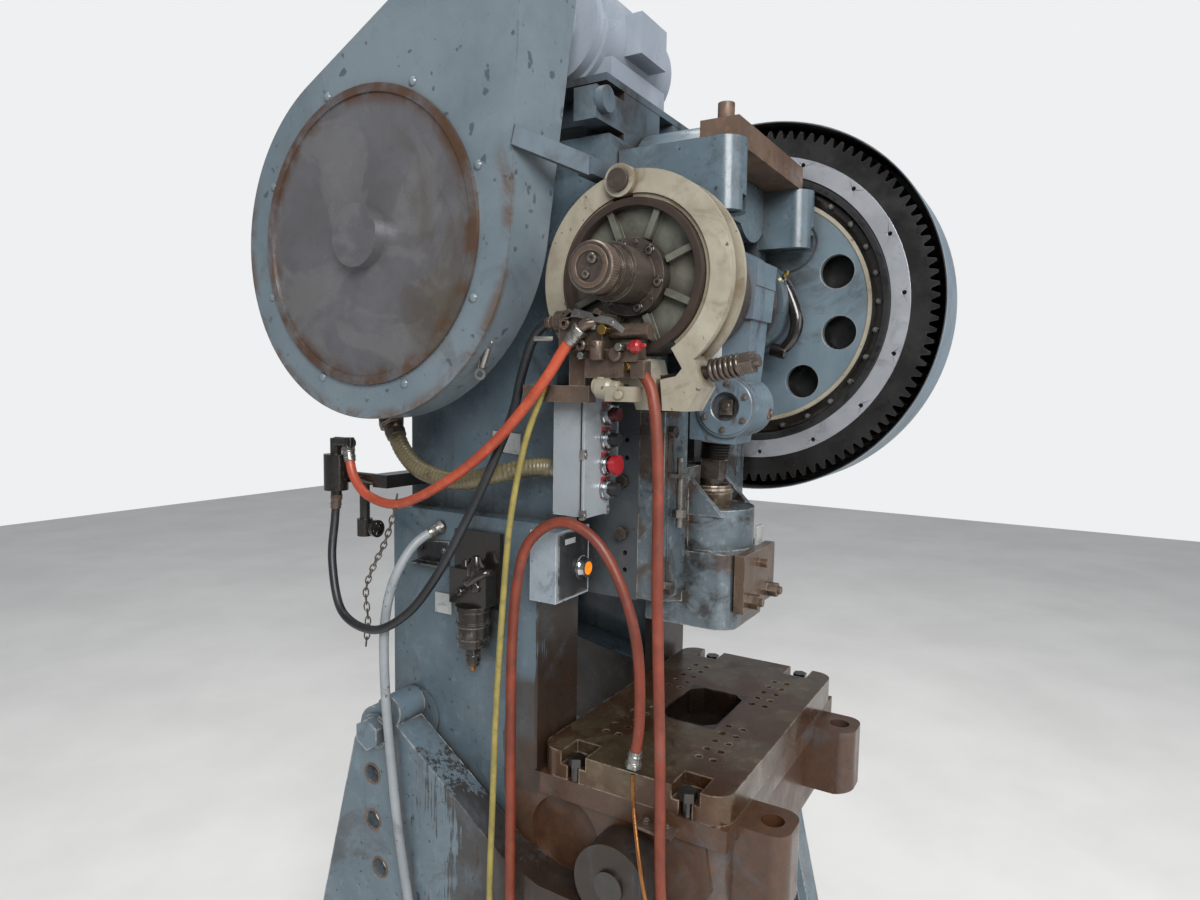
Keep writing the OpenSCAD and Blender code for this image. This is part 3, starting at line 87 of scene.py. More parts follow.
class Finish:
    # one material, its nodes joined by short calls
    def __init__(self, name):
        self.material = bpy.data.materials.new(name)
        self.material.use_nodes = True
        self.nodes, self.links = self.material.node_tree.nodes, self.material.node_tree.links
        self.nodes.clear()
        self.shader = self.nodes.new("ShaderNodeBsdfPrincipled")
        out = self.nodes.new("ShaderNodeOutputMaterial")
        self.links.new(self.shader.outputs[0], out.inputs[0])
        self.where = self.nodes.new("ShaderNodeTexCoord").outputs["Object"]

    def add(self, kind, sockets, **settings):
        node = self.nodes.new(kind)
        for key, value in settings.items():
            setattr(node, key, value)
        for key, value in sockets.items():
            self.plug(node.inputs[key], value)
        return node

    def plug(self, socket, value):
        if isinstance(value, bpy.types.NodeSocket):
            self.links.new(value, socket)
        else:
            socket.default_value = value

    def clouds(self, scale, detail=5.0, rough=0.6, stretch=None, warp=0.0, shift=0.0):
        spot = self.where
        if stretch or shift:
            spot = self.add("ShaderNodeMapping", {"Vector": spot, "Location": (shift,) * 3,
                                                  "Scale": stretch or (1, 1, 1)}).outputs[0]
        return self.add("ShaderNodeTexNoise", {"Vector": spot, "Scale": scale, "Detail": detail,
                                               "Roughness": rough, "Distortion": warp}).outputs["Fac"]

    def band(self, value, low, high, first=0.0, last=1.0):
        return self.add("ShaderNodeMapRange", {"Value": value, "From Min": low, "From Max": high,
                                               "To Min": first, "To Max": last},
                        interpolation_type="SMOOTHSTEP").outputs["Result"]

    def sums(self, kind, a, b=0.0):
        return self.add("ShaderNodeMath", {0: a, 1: b}, operation=kind, use_clamp=kind == "ADD").outputs[0]

    def vector(self, kind, *values):
        return self.add("ShaderNodeVectorMath", dict(enumerate(values)), operation=kind)

    def times(self, *values):
        product = values[0]
        for value in values[1:]:
            product = self.sums("MULTIPLY", product, value)
        return product

    def mix(self, amount, first, second):
        node = self.add("ShaderNodeMix", {0: amount, 6: first, 7: second}, data_type="RGBA")
        return node.outputs[2]

    def height(self, low, high):
        # 1 below low, 0 above high, in metres over the floor
        z = self.add("ShaderNodeSeparateXYZ", {0: self.where}).outputs["Z"]
        return self.band(z, low, high, 1.0, 0.0)

    def axisDistance(self, y, z):
        # distance from a shaft axis along X, in metres of the frame
        flat = self.vector("MULTIPLY", self.where, (0, 1, 1)).outputs[0]
        return self.vector("DISTANCE", flat, (0, y, z)).outputs["Value"]

    def zone(self, low, high, ragged=0.0):
        # 1 inside a box of the frame, with a ragged border
        wavy = self.add("ShaderNodeTexNoise", {"Vector": self.where, "Scale": 9, "Detail": 6})
        moved = self.vector("SUBTRACT", wavy.outputs["Color"], (0.5, 0.5, 0.5)).outputs[0]
        spot = self.vector("MULTIPLY_ADD", moved, (0.0, ragged, 0.12), self.where).outputs[0]
        parts = self.add("ShaderNodeSeparateXYZ", {0: spot}).outputs
        streaks = self.sums("SUBTRACT", 0.5, self.clouds(110, 5, 0.7, stretch=(1, 1, 0.05)))
        across = self.sums("SUBTRACT", parts["Y"], self.times(streaks, ragged))
        borders = (0.002, 0.03 if ragged > 0.1 else 0.002, 0.03)
        inside = 1.0
        for value, soft, a, b in zip((parts["X"], across, parts["Z"]), borders, low, high):
            both = self.times(self.band(value, a - soft, a), self.band(value, b, b + soft, 1.0, 0.0))
            inside = self.times(inside, both)
        return inside

    def edges(self, width):
        soft = self.add("ShaderNodeBevel", {"Radius": width}, samples=4).outputs[0]
        hard = self.add("ShaderNodeNewGeometry", {}).outputs["True Normal"]
        dot = self.vector("DOT_PRODUCT", soft, hard).outputs["Value"]
        return self.band(dot, 0.995, 0.86)

    # painted shade: ambient occlusion mask, 1 in corners and hollows where shade falls
    def corners(self, reach):
        gap = self.add("ShaderNodeAmbientOcclusion", {"Distance": reach}, samples=4).outputs["AO"]
        return self.band(gap, 0.35, 0.85, 1.0, 0.0)

    def surface(self, colour, roughness, waves=None, strength=0.2, depth=0.002, metal=0.0):
        self.plug(self.shader.inputs["Base Color"], colour)
        self.plug(self.shader.inputs["Roughness"], roughness)
        self.plug(self.shader.inputs["Metallic"], metal)
        if waves is not None:
            bump = self.add("ShaderNodeBump", {"Height": waves, "Strength": strength, "Distance": depth})
            self.plug(self.shader.inputs["Normal"], bump.outputs[0])
        return self.material


# What a look has where its own line doesn't state it
usual = dict(patchScale=3.5, mottle=0.25, runs=0, corner=0, cornerReach=0.06,
             stain=None, stainCover=(0.6, 0.7), stainScale=2.2, stainAmount=0.7, speck=None, speckScale=85,
             speckCover=0.69, wear=None, wearWidth=0.003, wearAmount=0.8, zones=(), ragged=0.0, ring=None,
             metal=0.0, coat=0, grain=160, dents=18, bump=0.25)


def weathered(name, look):
    # paint or metal with blotches, grime and painted shade in corners, runs, specks and edge colour (worn
    # edges, on the leg also a painted edge highlight)
    look = {**usual, "mottleTone": look["second"], "zoneDark": look["grimeAndShade"], **look}
    f = Finish(name)
    patches = f.band(f.clouds(look["patchScale"], 7, 0.62, warp=0.6), 0.38, 0.64)
    colour = f.mix(patches, tone(look["base"]), tone(look["second"]))
    fine = f.clouds(38, 4, 0.7, shift=3.0)
    colour = f.mix(f.band(fine, 0.5, 0.75, 0, look["mottle"]), colour, tone(look["mottleTone"]))
    blots = f.band(f.clouds(look["grimeScale"], 9, 0.68, warp=1.2, shift=7.0), 0.52, 0.68)
    grimeAndShade = f.times(blots, look["grimeAmount"])
    if look["runs"]:
        runs = f.band(f.clouds(16, 5, 0.6, stretch=(1, 1, 0.07), shift=1.5), 0.56, 0.74)
        grimeAndShade = f.sums("ADD", grimeAndShade, f.times(runs, look["runs"]))
    # painted shade: corners and hollows darkened towards the grime colour by ambient occlusion, added to the
    # grime blots
    if look["corner"]:
        grimeAndShade = f.sums("ADD", grimeAndShade, f.times(f.corners(look["cornerReach"]), look["corner"]))
    colour = f.mix(grimeAndShade, colour, tone(look["grimeAndShade"]))
    if look["stain"]:
        stain = f.band(f.clouds(look["stainScale"], 8, 0.6, warp=0.9, shift=11.0), *look["stainCover"])
        colour = f.mix(f.times(stain, look["stainAmount"]), colour, tone(look["stain"]))
    if look["speck"]:
        cover = look["speckCover"]
        specks = f.band(f.clouds(look["speckScale"], 2, 0.5, shift=5.0), cover, cover + 0.04)
        colour = f.mix(f.times(specks, 0.8), colour, tone(look["speck"]))
    # edge colour: worn edges; on the leg also a painted highlight along the edges
    if look["wear"]:
        edgeToneMask = f.times(f.edges(look["wearWidth"]), f.band(f.clouds(24, 5, 0.7, shift=9.0), 0.40, 0.58))
        colour = f.mix(f.times(edgeToneMask, look["wearAmount"]), colour, tone(look["wear"]))
    for low, high, shade, share in look["zones"]:
        spread = f.band(f.clouds(7, 7, 0.65, warp=0.8, shift=6.5), 0.24, 0.5, 0.55, 1.0)
        inside = f.times(f.zone(low, high, look["ragged"]), spread)
        colour = f.mix(f.times(inside, share), colour, f.mix(fine, tone(shade), tone(look["zoneDark"])))
    if look["ring"]:
        inner, outer, shade, share = look["ring"]
        away, above = f.axisDistance(*flywheelAxis), flywheelAxis[1]
        blots = f.band(f.clouds(8, 7, 0.66, warp=1.0, shift=8.5), 0.4, 0.58)
        face = f.add("ShaderNodeSeparateXYZ", {0: f.where}).outputs["X"]
        rim = f.times(f.band(away, inner, outer), blots, f.band(face, -0.455, -0.468))
        rim = f.times(rim, f.band(away, outer + 0.006, outer + 0.02, 1.0, 0.0))
        rim = f.times(rim, f.height(above + 0.06, above + 0.16))
        colour = f.mix(f.times(rim, share), colour, tone(shade))
    if look["coat"]:
        f.shader.inputs["Coat Weight"].default_value = look["coat"]
        f.shader.inputs["Coat Roughness"].default_value = 0.18
    roughness = f.band(f.clouds(11, 6, 0.6, shift=2.0), 0.3, 0.7, *look["rough"])
    grain, dents = f.clouds(look["grain"], 3, 0.6), f.clouds(look["dents"], 3, 0.5)
    waves = f.sums("ADD", f.times(grain, 0.5), f.times(dents, 0.5))
    return f.surface(colour, roughness, waves, look["bump"], 0.0015, look["metal"])


# A look: base and second tone, the colour for grime and for painted shade in corners, the grime's amount and
# scale, gloss from wet to dull, then the rest
def paint(base, second, grimeAndShade, grimeAmount, grimeScale, rough, **rest):
    return dict(base=base, second=second, grimeAndShade=grimeAndShade, grimeAmount=grimeAmount, grimeScale=grimeScale,
                rough=rough, **rest)


looks = {
    "framePaint": paint("#52616a", "#47555d", "#2a241f", 0.55, 5, (0.22, 0.46), mottleTone="#6a7881",
        mottle=0.4, runs=0.5, corner=0.8, speck="#231f1d", wear="#4a3a30", wearAmount=0.6, coat=0.15,
        ragged=0.02, zoneDark="#22160e",
        zones=(((-0.5, -0.6, 0.6), (0.6, 0.03, 0.87), "#5c3b22", 0.94),
               # painted shade: the walls of the bed's opening under the bolster, near black
               ((-0.075, -0.313, 0.4), (0.153, -0.154, 0.835), "#0c0b0a", 1.0),
               ((-0.32, -0.03, 0.8), (0.4, -0.0155, 1.15), "#2a1d13", 0.96),
               # painted shade: the frame's inner faces behind the throat, near black
               ((-0.1635, -0.1, 0.5), (0.2415, 0.42, 1.33), "#1c1612", 0.97),
               ((-0.185, -0.5, 1.12), (0.263, -0.018, 1.6), "#3b3733", 0.6),
               ((-0.5, -0.02, 0.78), (0.5, 0.06, 1.0), "#3a2a1e", 0.8))),
    # the leg's light edge colour is worn paint together with a painted edge highlight
    "legPaint": paint("#54636c", "#606f78", "#362d27", 0.55, 5, (0.3, 0.55), mottleTone="#7b888f",
        mottle=0.35, runs=0.65, corner=0.6, speck="#28211d", speckCover=0.67, wear="#b3aea6",
        wearWidth=0.006, wearAmount=1.0, coat=0.1, ragged=0.5, zoneDark="#1d140e",
        zones=(((-0.5, -0.9, 0.5), (0.6, -0.05, 0.86), "#231d18", 0.92),
               ((-0.5, -0.3, 0.5), (0.6, 0.14, 0.83), "#33251b", 0.85))),
    "guardPaint": paint("#687379", "#5b676e", "#45403b", 0.3, 5, (0.24, 0.45), patchScale=2.4,
        mottleTone="#56616a", mottle=0.3, corner=0.35, stain="#5a5f62", stainScale=6,
        stainCover=(0.62, 0.7), speck="#3c4348", speckScale=34, speckCover=0.66, wear="#4f4339",
        wearWidth=0.005, coat=0.2, ring=(0.324, 0.348, "#513c2c", 0.75)),
    "motorPaint": paint("#8d959f", "#7f8791", "#6a6d70", 0.35, 5, (0.25, 0.4), corner=0.4, coat=0.3),
    "basePaint": paint("#4e5b64", "#3d4850", "#26221f", 0.8, 5, (0.3, 0.6), corner=0.8, stain="#4a3429",
        stainScale=6, wear="#5a3d2c"),
    "oilyCasting": paint("#4d3d30", "#604c3b", "#1f1712", 0.8, 6, (0.2, 0.45), mottleTone="#7a6350",
        mottle=0.35, runs=0.45, corner=0.5, stain="#6d5a4a", stainAmount=0.5, wear="#8b7c6e",
        wearWidth=0.004, metal=0.25, coat=0.35),
    "bolsterMetal": paint("#4a3b2b", "#5e503c", "#24170e", 0.9, 6, (0.14, 0.42), mottleTone="#85755c",
        mottle=0.45, corner=0.5, stain="#43230f", stainScale=4.2, stainCover=(0.47, 0.56), wear="#b5a897",
        wearWidth=0.005, metal=0.45, coat=0.4,
        # painted shade: the walls of the bolster's opening, near black
        zones=(((-0.064, -0.302, 0.8), (0.142, -0.165, 0.877), "#0d0b0a", 1.0),)),
    "slideMetal": paint("#6f7b81", "#59646a", "#2b211b", 0.85, 8, (0.18, 0.4), mottleTone="#a3abae",
        mottle=0.5, runs=0.55, corner=0.65, stain="#4d3623", stainScale=6, stainCover=(0.52, 0.6),
        wear="#d8d3c8", wearWidth=0.004, metal=0.45, coat=0.3),
    "rodPaint": paint("#64757f", "#586570", "#3d2f27", 0.75, 9, (0.2, 0.42), mottleTone="#7d8a92",
        corner=0.7, wear="#6d5443", coat=0.3),
    "creamPaint": paint("#9b9586", "#857e6e", "#54432f", 0.5, 9, (0.3, 0.5), mottleTone="#7c725f",
        mottle=0.4, corner=0.9, cornerReach=0.03, speck="#3d2f22", wear="#7a6a52", coat=0.15),
    "machined": paint("#8e8b86", "#78746e", "#3c332b", 0.55, 14, (0.2, 0.4), corner=0.6, metal=0.85,
        grain=260),
    "greasySteel": paint("#655b54", "#544a43", "#231c18", 0.7, 16, (0.2, 0.42), mottleTone="#8d837a",
        mottle=0.4, corner=0.7, wear="#a39a90", metal=0.7, coat=0.2),
    "bronze": paint("#8a6a41", "#6f5434", "#33271c", 0.6, 5, (0.25, 0.45), metal=0.9),
    "gearBlack": paint("#232120", "#1a1918", "#0f0e0d", 0.7, 18, (0.2, 0.5), mottleTone="#3d3a38",
        mottle=0.35, wear="#55504b", wearAmount=0.6, metal=0.35, coat=0.4),
    "ringMetal": paint("#a7a9ae", "#989a9f", "#5e5c5a", 0.35, 12, (0.28, 0.42), corner=0.5, metal=0.5,
        grain=240),
    "rubber": paint("#232324", "#1b1b1c", "#0e0d0d", 0.5, 5, (0.4, 0.65), mottleTone="#383735"),
    "beltRubber": paint("#26262a", "#1d1d20", "#3a3835", 0.4, 5, (0.6, 0.8)),
    "spiderPaint": paint("#65747c", "#596770", "#2f2a26", 0.55, 5, (0.25, 0.45), corner=0.6, wear="#b0a48b",
        wearWidth=0.005, coat=0.25),
    "castIron": paint("#4a4c4e", "#3e4042", "#262321", 0.6, 5, (0.35, 0.6), metal=0.4),
    "boxGrey": paint("#8d9397", "#858b90", "#5b5f61", 0.3, 9, (0.3, 0.42), patchScale=6, mottle=0.1,
        corner=0.3, speck="#54504c", speckCover=0.72, wear="#c9cdcf", wearWidth=0.002, metal=0.15),
    "boxLight": paint("#9aa3aa", "#8a949c", "#565c60", 0.5, 14, (0.3, 0.5), patchScale=8,
        mottleTone="#b6bdc2", corner=0.3, speck="#3f4346", speckCover=0.68, wear="#d3d6d8", metal=0.2),
    "blackPlate": paint("#141517", "#1d1e20", "#4d4b47", 0.3, 22, (0.25, 0.45), wear="#b9b7b2"),
    "chrome": paint("#c6c9cc", "#b6b9bd", "#77736d", 0.25, 40, (0.12, 0.26), mottle=0.1, corner=0.5,
        metal=1.0),
    "zinc": paint("#9b9a96", "#86847f", "#4b4137", 0.6, 30, (0.22, 0.42), corner=0.6, metal=0.85),
    "brass": paint("#a98c4e", "#8f7440", "#4a3b25", 0.5, 34, (0.2, 0.4), metal=0.95),
    "brownIron": paint("#6a5a4e", "#57493f", "#2b221c", 0.7, 24, (0.24, 0.48), mottleTone="#85766a",
        mottle=0.4, corner=0.7, cornerReach=0.02, wear="#a09284", metal=0.5, coat=0.15),
    "rustSteel": paint("#6f5a4b", "#5a463a", "#35281f", 0.6, 20, (0.4, 0.65), mottleTone="#8d6f58",
        mottle=0.5, corner=0.5, metal=0.3),
    "greaseBlack": paint("#181511", "#241f1a", "#0a0908", 0.8, 22, (0.08, 0.3), mottleTone="#3f3931",
        mottle=0.4, metal=0.3, coat=0.8, dents=45, bump=0.5),
    "oilerSteel": paint("#39342f", "#26221f", "#141110", 0.9, 18, (0.1, 0.35), mottleTone="#837d76",
        mottle=0.5, wear="#a39d95", metal=0.7, coat=0.5),
    "plateWhite": paint("#b9bcba", "#a4a6a3", "#6b655c", 0.5, 40, (0.3, 0.5), metal=0.3),
    "redPlate": paint("#8f1c26", "#7a1820", "#c9c1bb", 0.25, 120, (0.3, 0.5)),
    "redKnob": paint("#a31822", "#8d141c", "#50100f", 0.4, 50, (0.25, 0.4), mottle=0.15, coat=0.3),
    "darkRedKnob": paint("#4d1016", "#3d0d12", "#240808", 0.4, 5, (0.2, 0.35), coat=0.3),
    "blackKnob": paint("#1c1c1e", "#242427", "#39383a", 0.3, 5, (0.3, 0.5)),
    "hoseRed": paint("#74301d", "#612716", "#42241f", 0.5, 14, (0.38, 0.55), patchScale=9,
        mottleTone="#8a4f36", mottle=0.3, stain="#7b4a42", bump=0.1),
    "hoseOrange": paint("#a8452a", "#933b23", "#5c3024", 0.4, 14, (0.35, 0.5), patchScale=9,
        mottleTone="#cf7558", mottle=0.3, bump=0.1),
    "hoseBlack": paint("#17181b", "#202226", "#3a3835", 0.35, 5, (0.28, 0.45), mottle=0.2),
    "hoseYellow": paint("#8c7f40", "#786d38", "#3f3a2c", 0.6, 16, (0.4, 0.6), patchScale=12,
        mottleTone="#4b4432", mottle=0.45, bump=0.15),
    "conduitGrey": paint("#8a8f92", "#7a7f82", "#4d4a47", 0.55, 8, (0.35, 0.5), patchScale=6,
        speck="#2f2d2b", bump=0.1),
    "conduitOlive": paint("#5f563d", "#6f6549", "#241f18", 0.75, 10, (0.3, 0.5), mottleTone="#867b5c",
        mottle=0.35, coat=0.2),
    "copper": paint("#b5804f", "#a06d40", "#5a4028", 0.5, 30, (0.2, 0.38), mottle=0.3, metal=0.95),
}
finishes = {name: weathered(name, look) for name, look in looks.items()}


def doorFinish():
    # dished sheet with rust-brown stains round the rim and at the upper right
    door = {"base": "#696769", "second": "#757579", "light": "#94938f", "brown": "#55472f", "rust": "#5f412a"}
    f = Finish("doorSheet")
    rim = f.band(f.axisDistance(*flywheelAxis), 0.238, 0.27)
    side = f.add("ShaderNodeSeparateXYZ", {0: f.where})
    right = f.band(side.outputs["Y"], 0.30, 0.06)
    blot = f.band(f.clouds(5.5, 8, 0.62, warp=1.2), 0.42, 0.66)
    colour = f.mix(f.band(f.clouds(9, 6, 0.6), 0.35, 0.7), tone(door["base"]), tone(door["second"]))
    rings = f.band(f.clouds(3.0, 5, 0.55, warp=2.0, shift=4.0), 0.5, 0.56)
    colour = f.mix(f.times(rings, 0.25), colour, tone(door["light"]))
    colour = f.mix(f.times(right, blot, 0.6), colour, tone(door["brown"]))
    blots = f.band(f.clouds(14, 6, 0.65, shift=2.0), 0.36, 0.6)
    colour = f.mix(f.times(rim, blots, 0.8), colour, tone(door["rust"]))
    roughness = f.band(f.clouds(7, 6, 0.6, shift=6.0), 0.3, 0.7, 0.2, 0.38)
    return f.surface(colour, roughness, f.clouds(2.6, 3, 0.45), 0.35, 0.012, 0.55)


def drumFinish():
    # greenish web with a dark oily rim; the web's corners darkened as painted shade
    f = Finish("drumIron")
    web = f.mix(f.band(f.clouds(14, 7, 0.65, warp=0.6), 0.38, 0.66), tone("#6a6c60"), tone("#504d44"))
    # painted shade: ambient occlusion darkens the web's corners and hollows
    web = f.mix(f.times(f.corners(0.03), 0.8), web, tone("#2c2620"))
    rim = f.mix(f.clouds(30), tone("#2e2622"), tone("#43362f"))
    colour = f.mix(f.band(f.axisDistance(*crankAxis), 0.118, 0.124), web, rim)
    roughness = f.band(f.clouds(16), 0.3, 0.7, 0.28, 0.5)
    return f.surface(colour, roughness, f.clouds(90), 0.3, 0.0012, 0.3)


def gearGuardFinish():
    # grey paint outside, black grease inside
    f = Finish("gearGuardSheet")
    outside = f.mix(f.band(f.clouds(5, 7, 0.6), 0.4, 0.65), tone("#7c8a94"), tone("#6c7983"))
    inside = f.mix(f.band(f.clouds(9, 7, 0.6), 0.4, 0.7), tone("#1d1c1b"), tone("#3a3430"))
    out = f.band(f.add("ShaderNodeSeparateXYZ", {0: f.where}).outputs["X"], 0.4325, 0.4335)
    rimOut = f.band(f.axisDistance(*crankAxis), 0.4361, 0.4366)
    colour = f.mix(f.sums("MAXIMUM", out, rimOut), inside, outside)
    return f.surface(colour, f.band(f.clouds(12), 0.3, 0.7, 0.3, 0.55), f.clouds(26))


def glowingAmberFinish():
    f = Finish("amberGlowLens")
    colour = f.mix(f.band(f.clouds(60), 0.4, 0.7), tone("#ff8a1e"), tone("#f07810"))
    # painted glow: a weak emission makes the amber button glow
    f.plug(f.shader.inputs["Emission Color"], colour)
    f.shader.inputs["Emission Strength"].default_value = 0.35
    return f.surface(colour, f.band(f.clouds(80), 0.3, 0.7, 0.2, 0.35))


finishes.update(door=doorFinish(), drum=drumFinish(), gearGuard=gearGuardFinish(), amber=glowingAmberFinish())
print("finishes made:", len(finishes))

# Which CAD parts get a finish, and how much their edges are rounded, in mm
dressing = {
    "legPaint": {"left_leg": 3, "right_leg": 3, "incline_bolts": 2},
    "greasySteel": {"tie_rods": 1, "gib_bolts": 1, "brake_studs": 0.6, "crankshaft": 2, "drum_hub": 1.5,
                    "backshaft": 0, "adjusting_screw": 1},
    "framePaint": {"press_frame": 7},
    "greaseBlack": {"trunnion_pins": 2, "hold_down_bolts": 1, "lubricator": 3, "air_manifold": 2,
                    "valve_wheel": 1},
    "bolsterMetal": {"bolster_plate": 2}, "slideMetal": {"gibs": 1.5, "slide": 3},
    "bronze": {"bronze_bushes": 0}, "creamPaint": {"brake_front_shoe": 3, "brake_rear_shoe": 3},
    "basePaint": {"brake_strap": 1, "motor_base": 2},
    "guardPaint": {"flywheel_guard": 3.5, "guard_screws": 0}, "door": {"guard_door": 1.5},
    "gearGuard": {"gear_guard": 0}, "motorPaint": {"motor_body": 4}, "beltRubber": {"v_belts": 0},
    "boxGrey": {"control_box": 1.5}, "chrome": {"operator_rings": 1.5}, "boxLight": {"small_box": 2},
    "brownIron": {"valve_block": 2}, "machined": {"knockout_gear": 1, "clutch_bolts": 0.6},
    "rustSteel": {"cross_bar": 2}, "drum": {"brake_drum": 1.5}, "spiderPaint": {"clutch_spider": 2},
    "gearBlack": {"bull_gear": 0}, "ringMetal": {"clutch_ring": 1}, "rubber": {"clutch_tube": 3},
    "castIron": {"flywheel": 2, "motor_sheave": 1}, "rodPaint": {"connection_rod": 4, "connection_cap": 4},
    "oilyCasting": {"shank_clamp": 3}, "darkRedKnob": {"top_button": 1.5},
    "blackKnob": {"second_button": 1.5, "fourth_button": 1.5}, "redKnob": {"stop_button": 2.5},
    "amber": {"side_button": 1.5}}


def softEdgeGroup():
    # shade smooth, and keep edges over 32 degrees sharp
    group = bpy.data.node_groups.new("softEdges", "GeometryNodeTree")
    group.interface.new_socket("Geometry", in_out="INPUT", socket_type="NodeSocketGeometry")
    group.interface.new_socket("Geometry", in_out="OUTPUT", socket_type="NodeSocketGeometry")
    nodes, links = group.nodes, group.links
    start, end = nodes.new("NodeGroupInput"), nodes.new("NodeGroupOutput")
    angle, over = nodes.new("GeometryNodeInputMeshEdgeAngle"), nodes.new("FunctionNodeCompare")
    over.data_type, over.operation = "FLOAT", "GREATER_THAN"
    over.inputs[1].default_value = radians(32)
    faces, sharp = nodes.new("GeometryNodeSetShadeSmooth"), nodes.new("GeometryNodeSetShadeSmooth")
    faces.domain, sharp.domain = "FACE", "EDGE"
    sharp.inputs["Shade Smooth"].default_value = False
    links.new(start.outputs[0], faces.inputs["Geometry"])
    links.new(faces.outputs[0], sharp.inputs["Geometry"])
    links.new(angle.outputs["Unsigned Angle"], over.inputs[0])
    links.new(over.outputs[0], sharp.inputs["Selection"])
    links.new(sharp.outputs[0], end.inputs[0])
    return group


softEdges = softEdgeGroup()


def bevelEdges(thing, width):
    if width:
        bevel = thing.modifiers.new("bevel", "BEVEL")
        bevel.width, bevel.segments = width / 1000, 2
        bevel.limit_method, bevel.angle_limit = "ANGLE", radians(40)
    thing.modifiers.new("softEdges", "NODES").node_group = softEdges


def roundEdges(thing, width):
    thing.modifiers.new("weld", "WELD").merge_threshold = 0.00002
    bevelEdges(thing, width)
    thing.modifiers.new("normals", "WEIGHTED_NORMAL").keep_sharp = True


for finish, parts in dressing.items():
    for node, width in parts.items():
        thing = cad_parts[node]
        thing.data.materials.clear()
        thing.data.materials.append(finishes[finish])
        own = thing.data.attributes.get("custom_normal")
        if own:
            thing.data.attributes.remove(own)
        roundEdges(thing, width)
print("CAD parts dressed with", len(dressing), "finishes")


def circle(centre, radius, side, other, sides):
    turns = (2 * pi * k / sides for k in range(sides))
    return [centre + radius * (cos(a) * side + sin(a) * other) for a in turns]


class Shape:
    # collects closed bodies in millimetres and turns them into one piece
    def __init__(self):
        self.mesh = bmesh.new()

    def loft(self, rings, joined=False):
        # joined: the last ring meets the first one, and there are no ends to close
        loops = [[self.mesh.verts.new(point) for point in ring] for ring in rings]
        for lower, upper in zip(loops, loops[1:] + (loops[:1] if joined else [])):
            for i in range(len(lower)):
                j = (i + 1) % len(lower)
                self.mesh.faces.new((lower[i], lower[j], upper[j], upper[i]))
        if not joined:
            self.mesh.faces.new(loops[0][::-1])
            self.mesh.faces.new(loops[-1])
        return self

    def lathe(self, profile, start, axis, sides=28, turn=0.0):
        # profile: (radius, distance along the axis)
        axis = Vector(axis).normalized()
        side = axis.orthogonal().normalized()
        if turn:
            side = Matrix.Rotation(radians(turn), 3, axis) @ side
        other = axis.cross(side)
        return self.loft([circle(Vector(start) + axis * d, r, side, other, sides) for r, d in profile])

    def rod(self, start, end, radius, edge=0.8, sides=28):
        along = Vector(end) - Vector(start)
        edge = min(edge, radius * 0.4, along.length * 0.4)
        far = along.length
        profile = [(radius - edge, 0), (radius, edge), (radius, far - edge), (radius - edge, far)]
        return self.lathe(profile, start, along, sides)

    def hexagon(self, start, end, flats, turn=0.0):
        along, r = Vector(end) - Vector(start), flats / 2 / cos(pi / 6)
        far = along.length
        profile = [(r * 0.93, 0), (r, flats * 0.05), (r, far - flats * 0.08), (r * 0.88, far)]
        return self.lathe(profile, start, along, 6, turn)

    def box(self, low, high):
        corners = [Vector((x, y, z)) for z in (low[2], high[2]) for x, y in
                   ((low[0], low[1]), (high[0], low[1]), (high[0], high[1]), (low[0], high[1]))]
        return self.loft([corners[:4], corners[4:]])

    def tube(self, path, radius, sides=14):
        path = [Vector(p) for p in path]
        rings, side = [], None
        for i, spot in enumerate(path):
            ahead = (path[min(i + 1, len(path) - 1)] - path[max(i - 1, 0)]).normalized()
            side = (ahead.orthogonal() if side is None else side - ahead * side.dot(ahead)).normalized()
            r = radius(i / (len(path) - 1)) if callable(radius) else radius
            rings.append(circle(spot, r, side, ahead.cross(side), sides))
        return self.loft(rings)

    def plate(self, outline, low, high, plane="xz"):
        # a flat outline given thickness across the plane
        def spot(point, depth):
            u, v = point
            return {"xz": (u, depth, v), "yz": (depth, u, v), "xy": (u, v, depth)}[plane]
        return self.loft([[spot(p, low) for p in outline], [spot(p, high) for p in outline]])

    def piece(self, name, finish, body="frame", slot=None, edge=0.0, replaces=()):
        bmesh.ops.recalc_face_normals(self.mesh, faces=self.mesh.faces)
        self.mesh.transform(toRow)
        data = bpy.data.meshes.new(name)
        self.mesh.to_mesh(data)
        self.mesh.free()
        data.materials.append(finishes[finish])
        thing = bpy.data.objects.new(name, data)
        scene.collection.objects.link(thing)
        bevelEdges(thing, edge)
        if body:
            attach(thing, body)
        if replaces:
            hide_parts(*replaces)
        return thing


def throughPoints(route, steps):
    # the same smooth curve through the points as in the part's source
    route = [Vector(point) for point in route]
    points, last = [], len(route) - 1
    for i in range(last):
        a, b, c, d = route[max(i - 1, 0)], route[i], route[i + 1], route[min(i + 2, last)]
        square, cube = 2 * a - 5 * b + 4 * c - d, 3 * b - a - 3 * c + d
        for t in (k / steps for k in range(steps)):
            points.append((2 * b + (c - a) * t + square * t * t + cube * t ** 3) / 2)
    return points + [route[-1]]


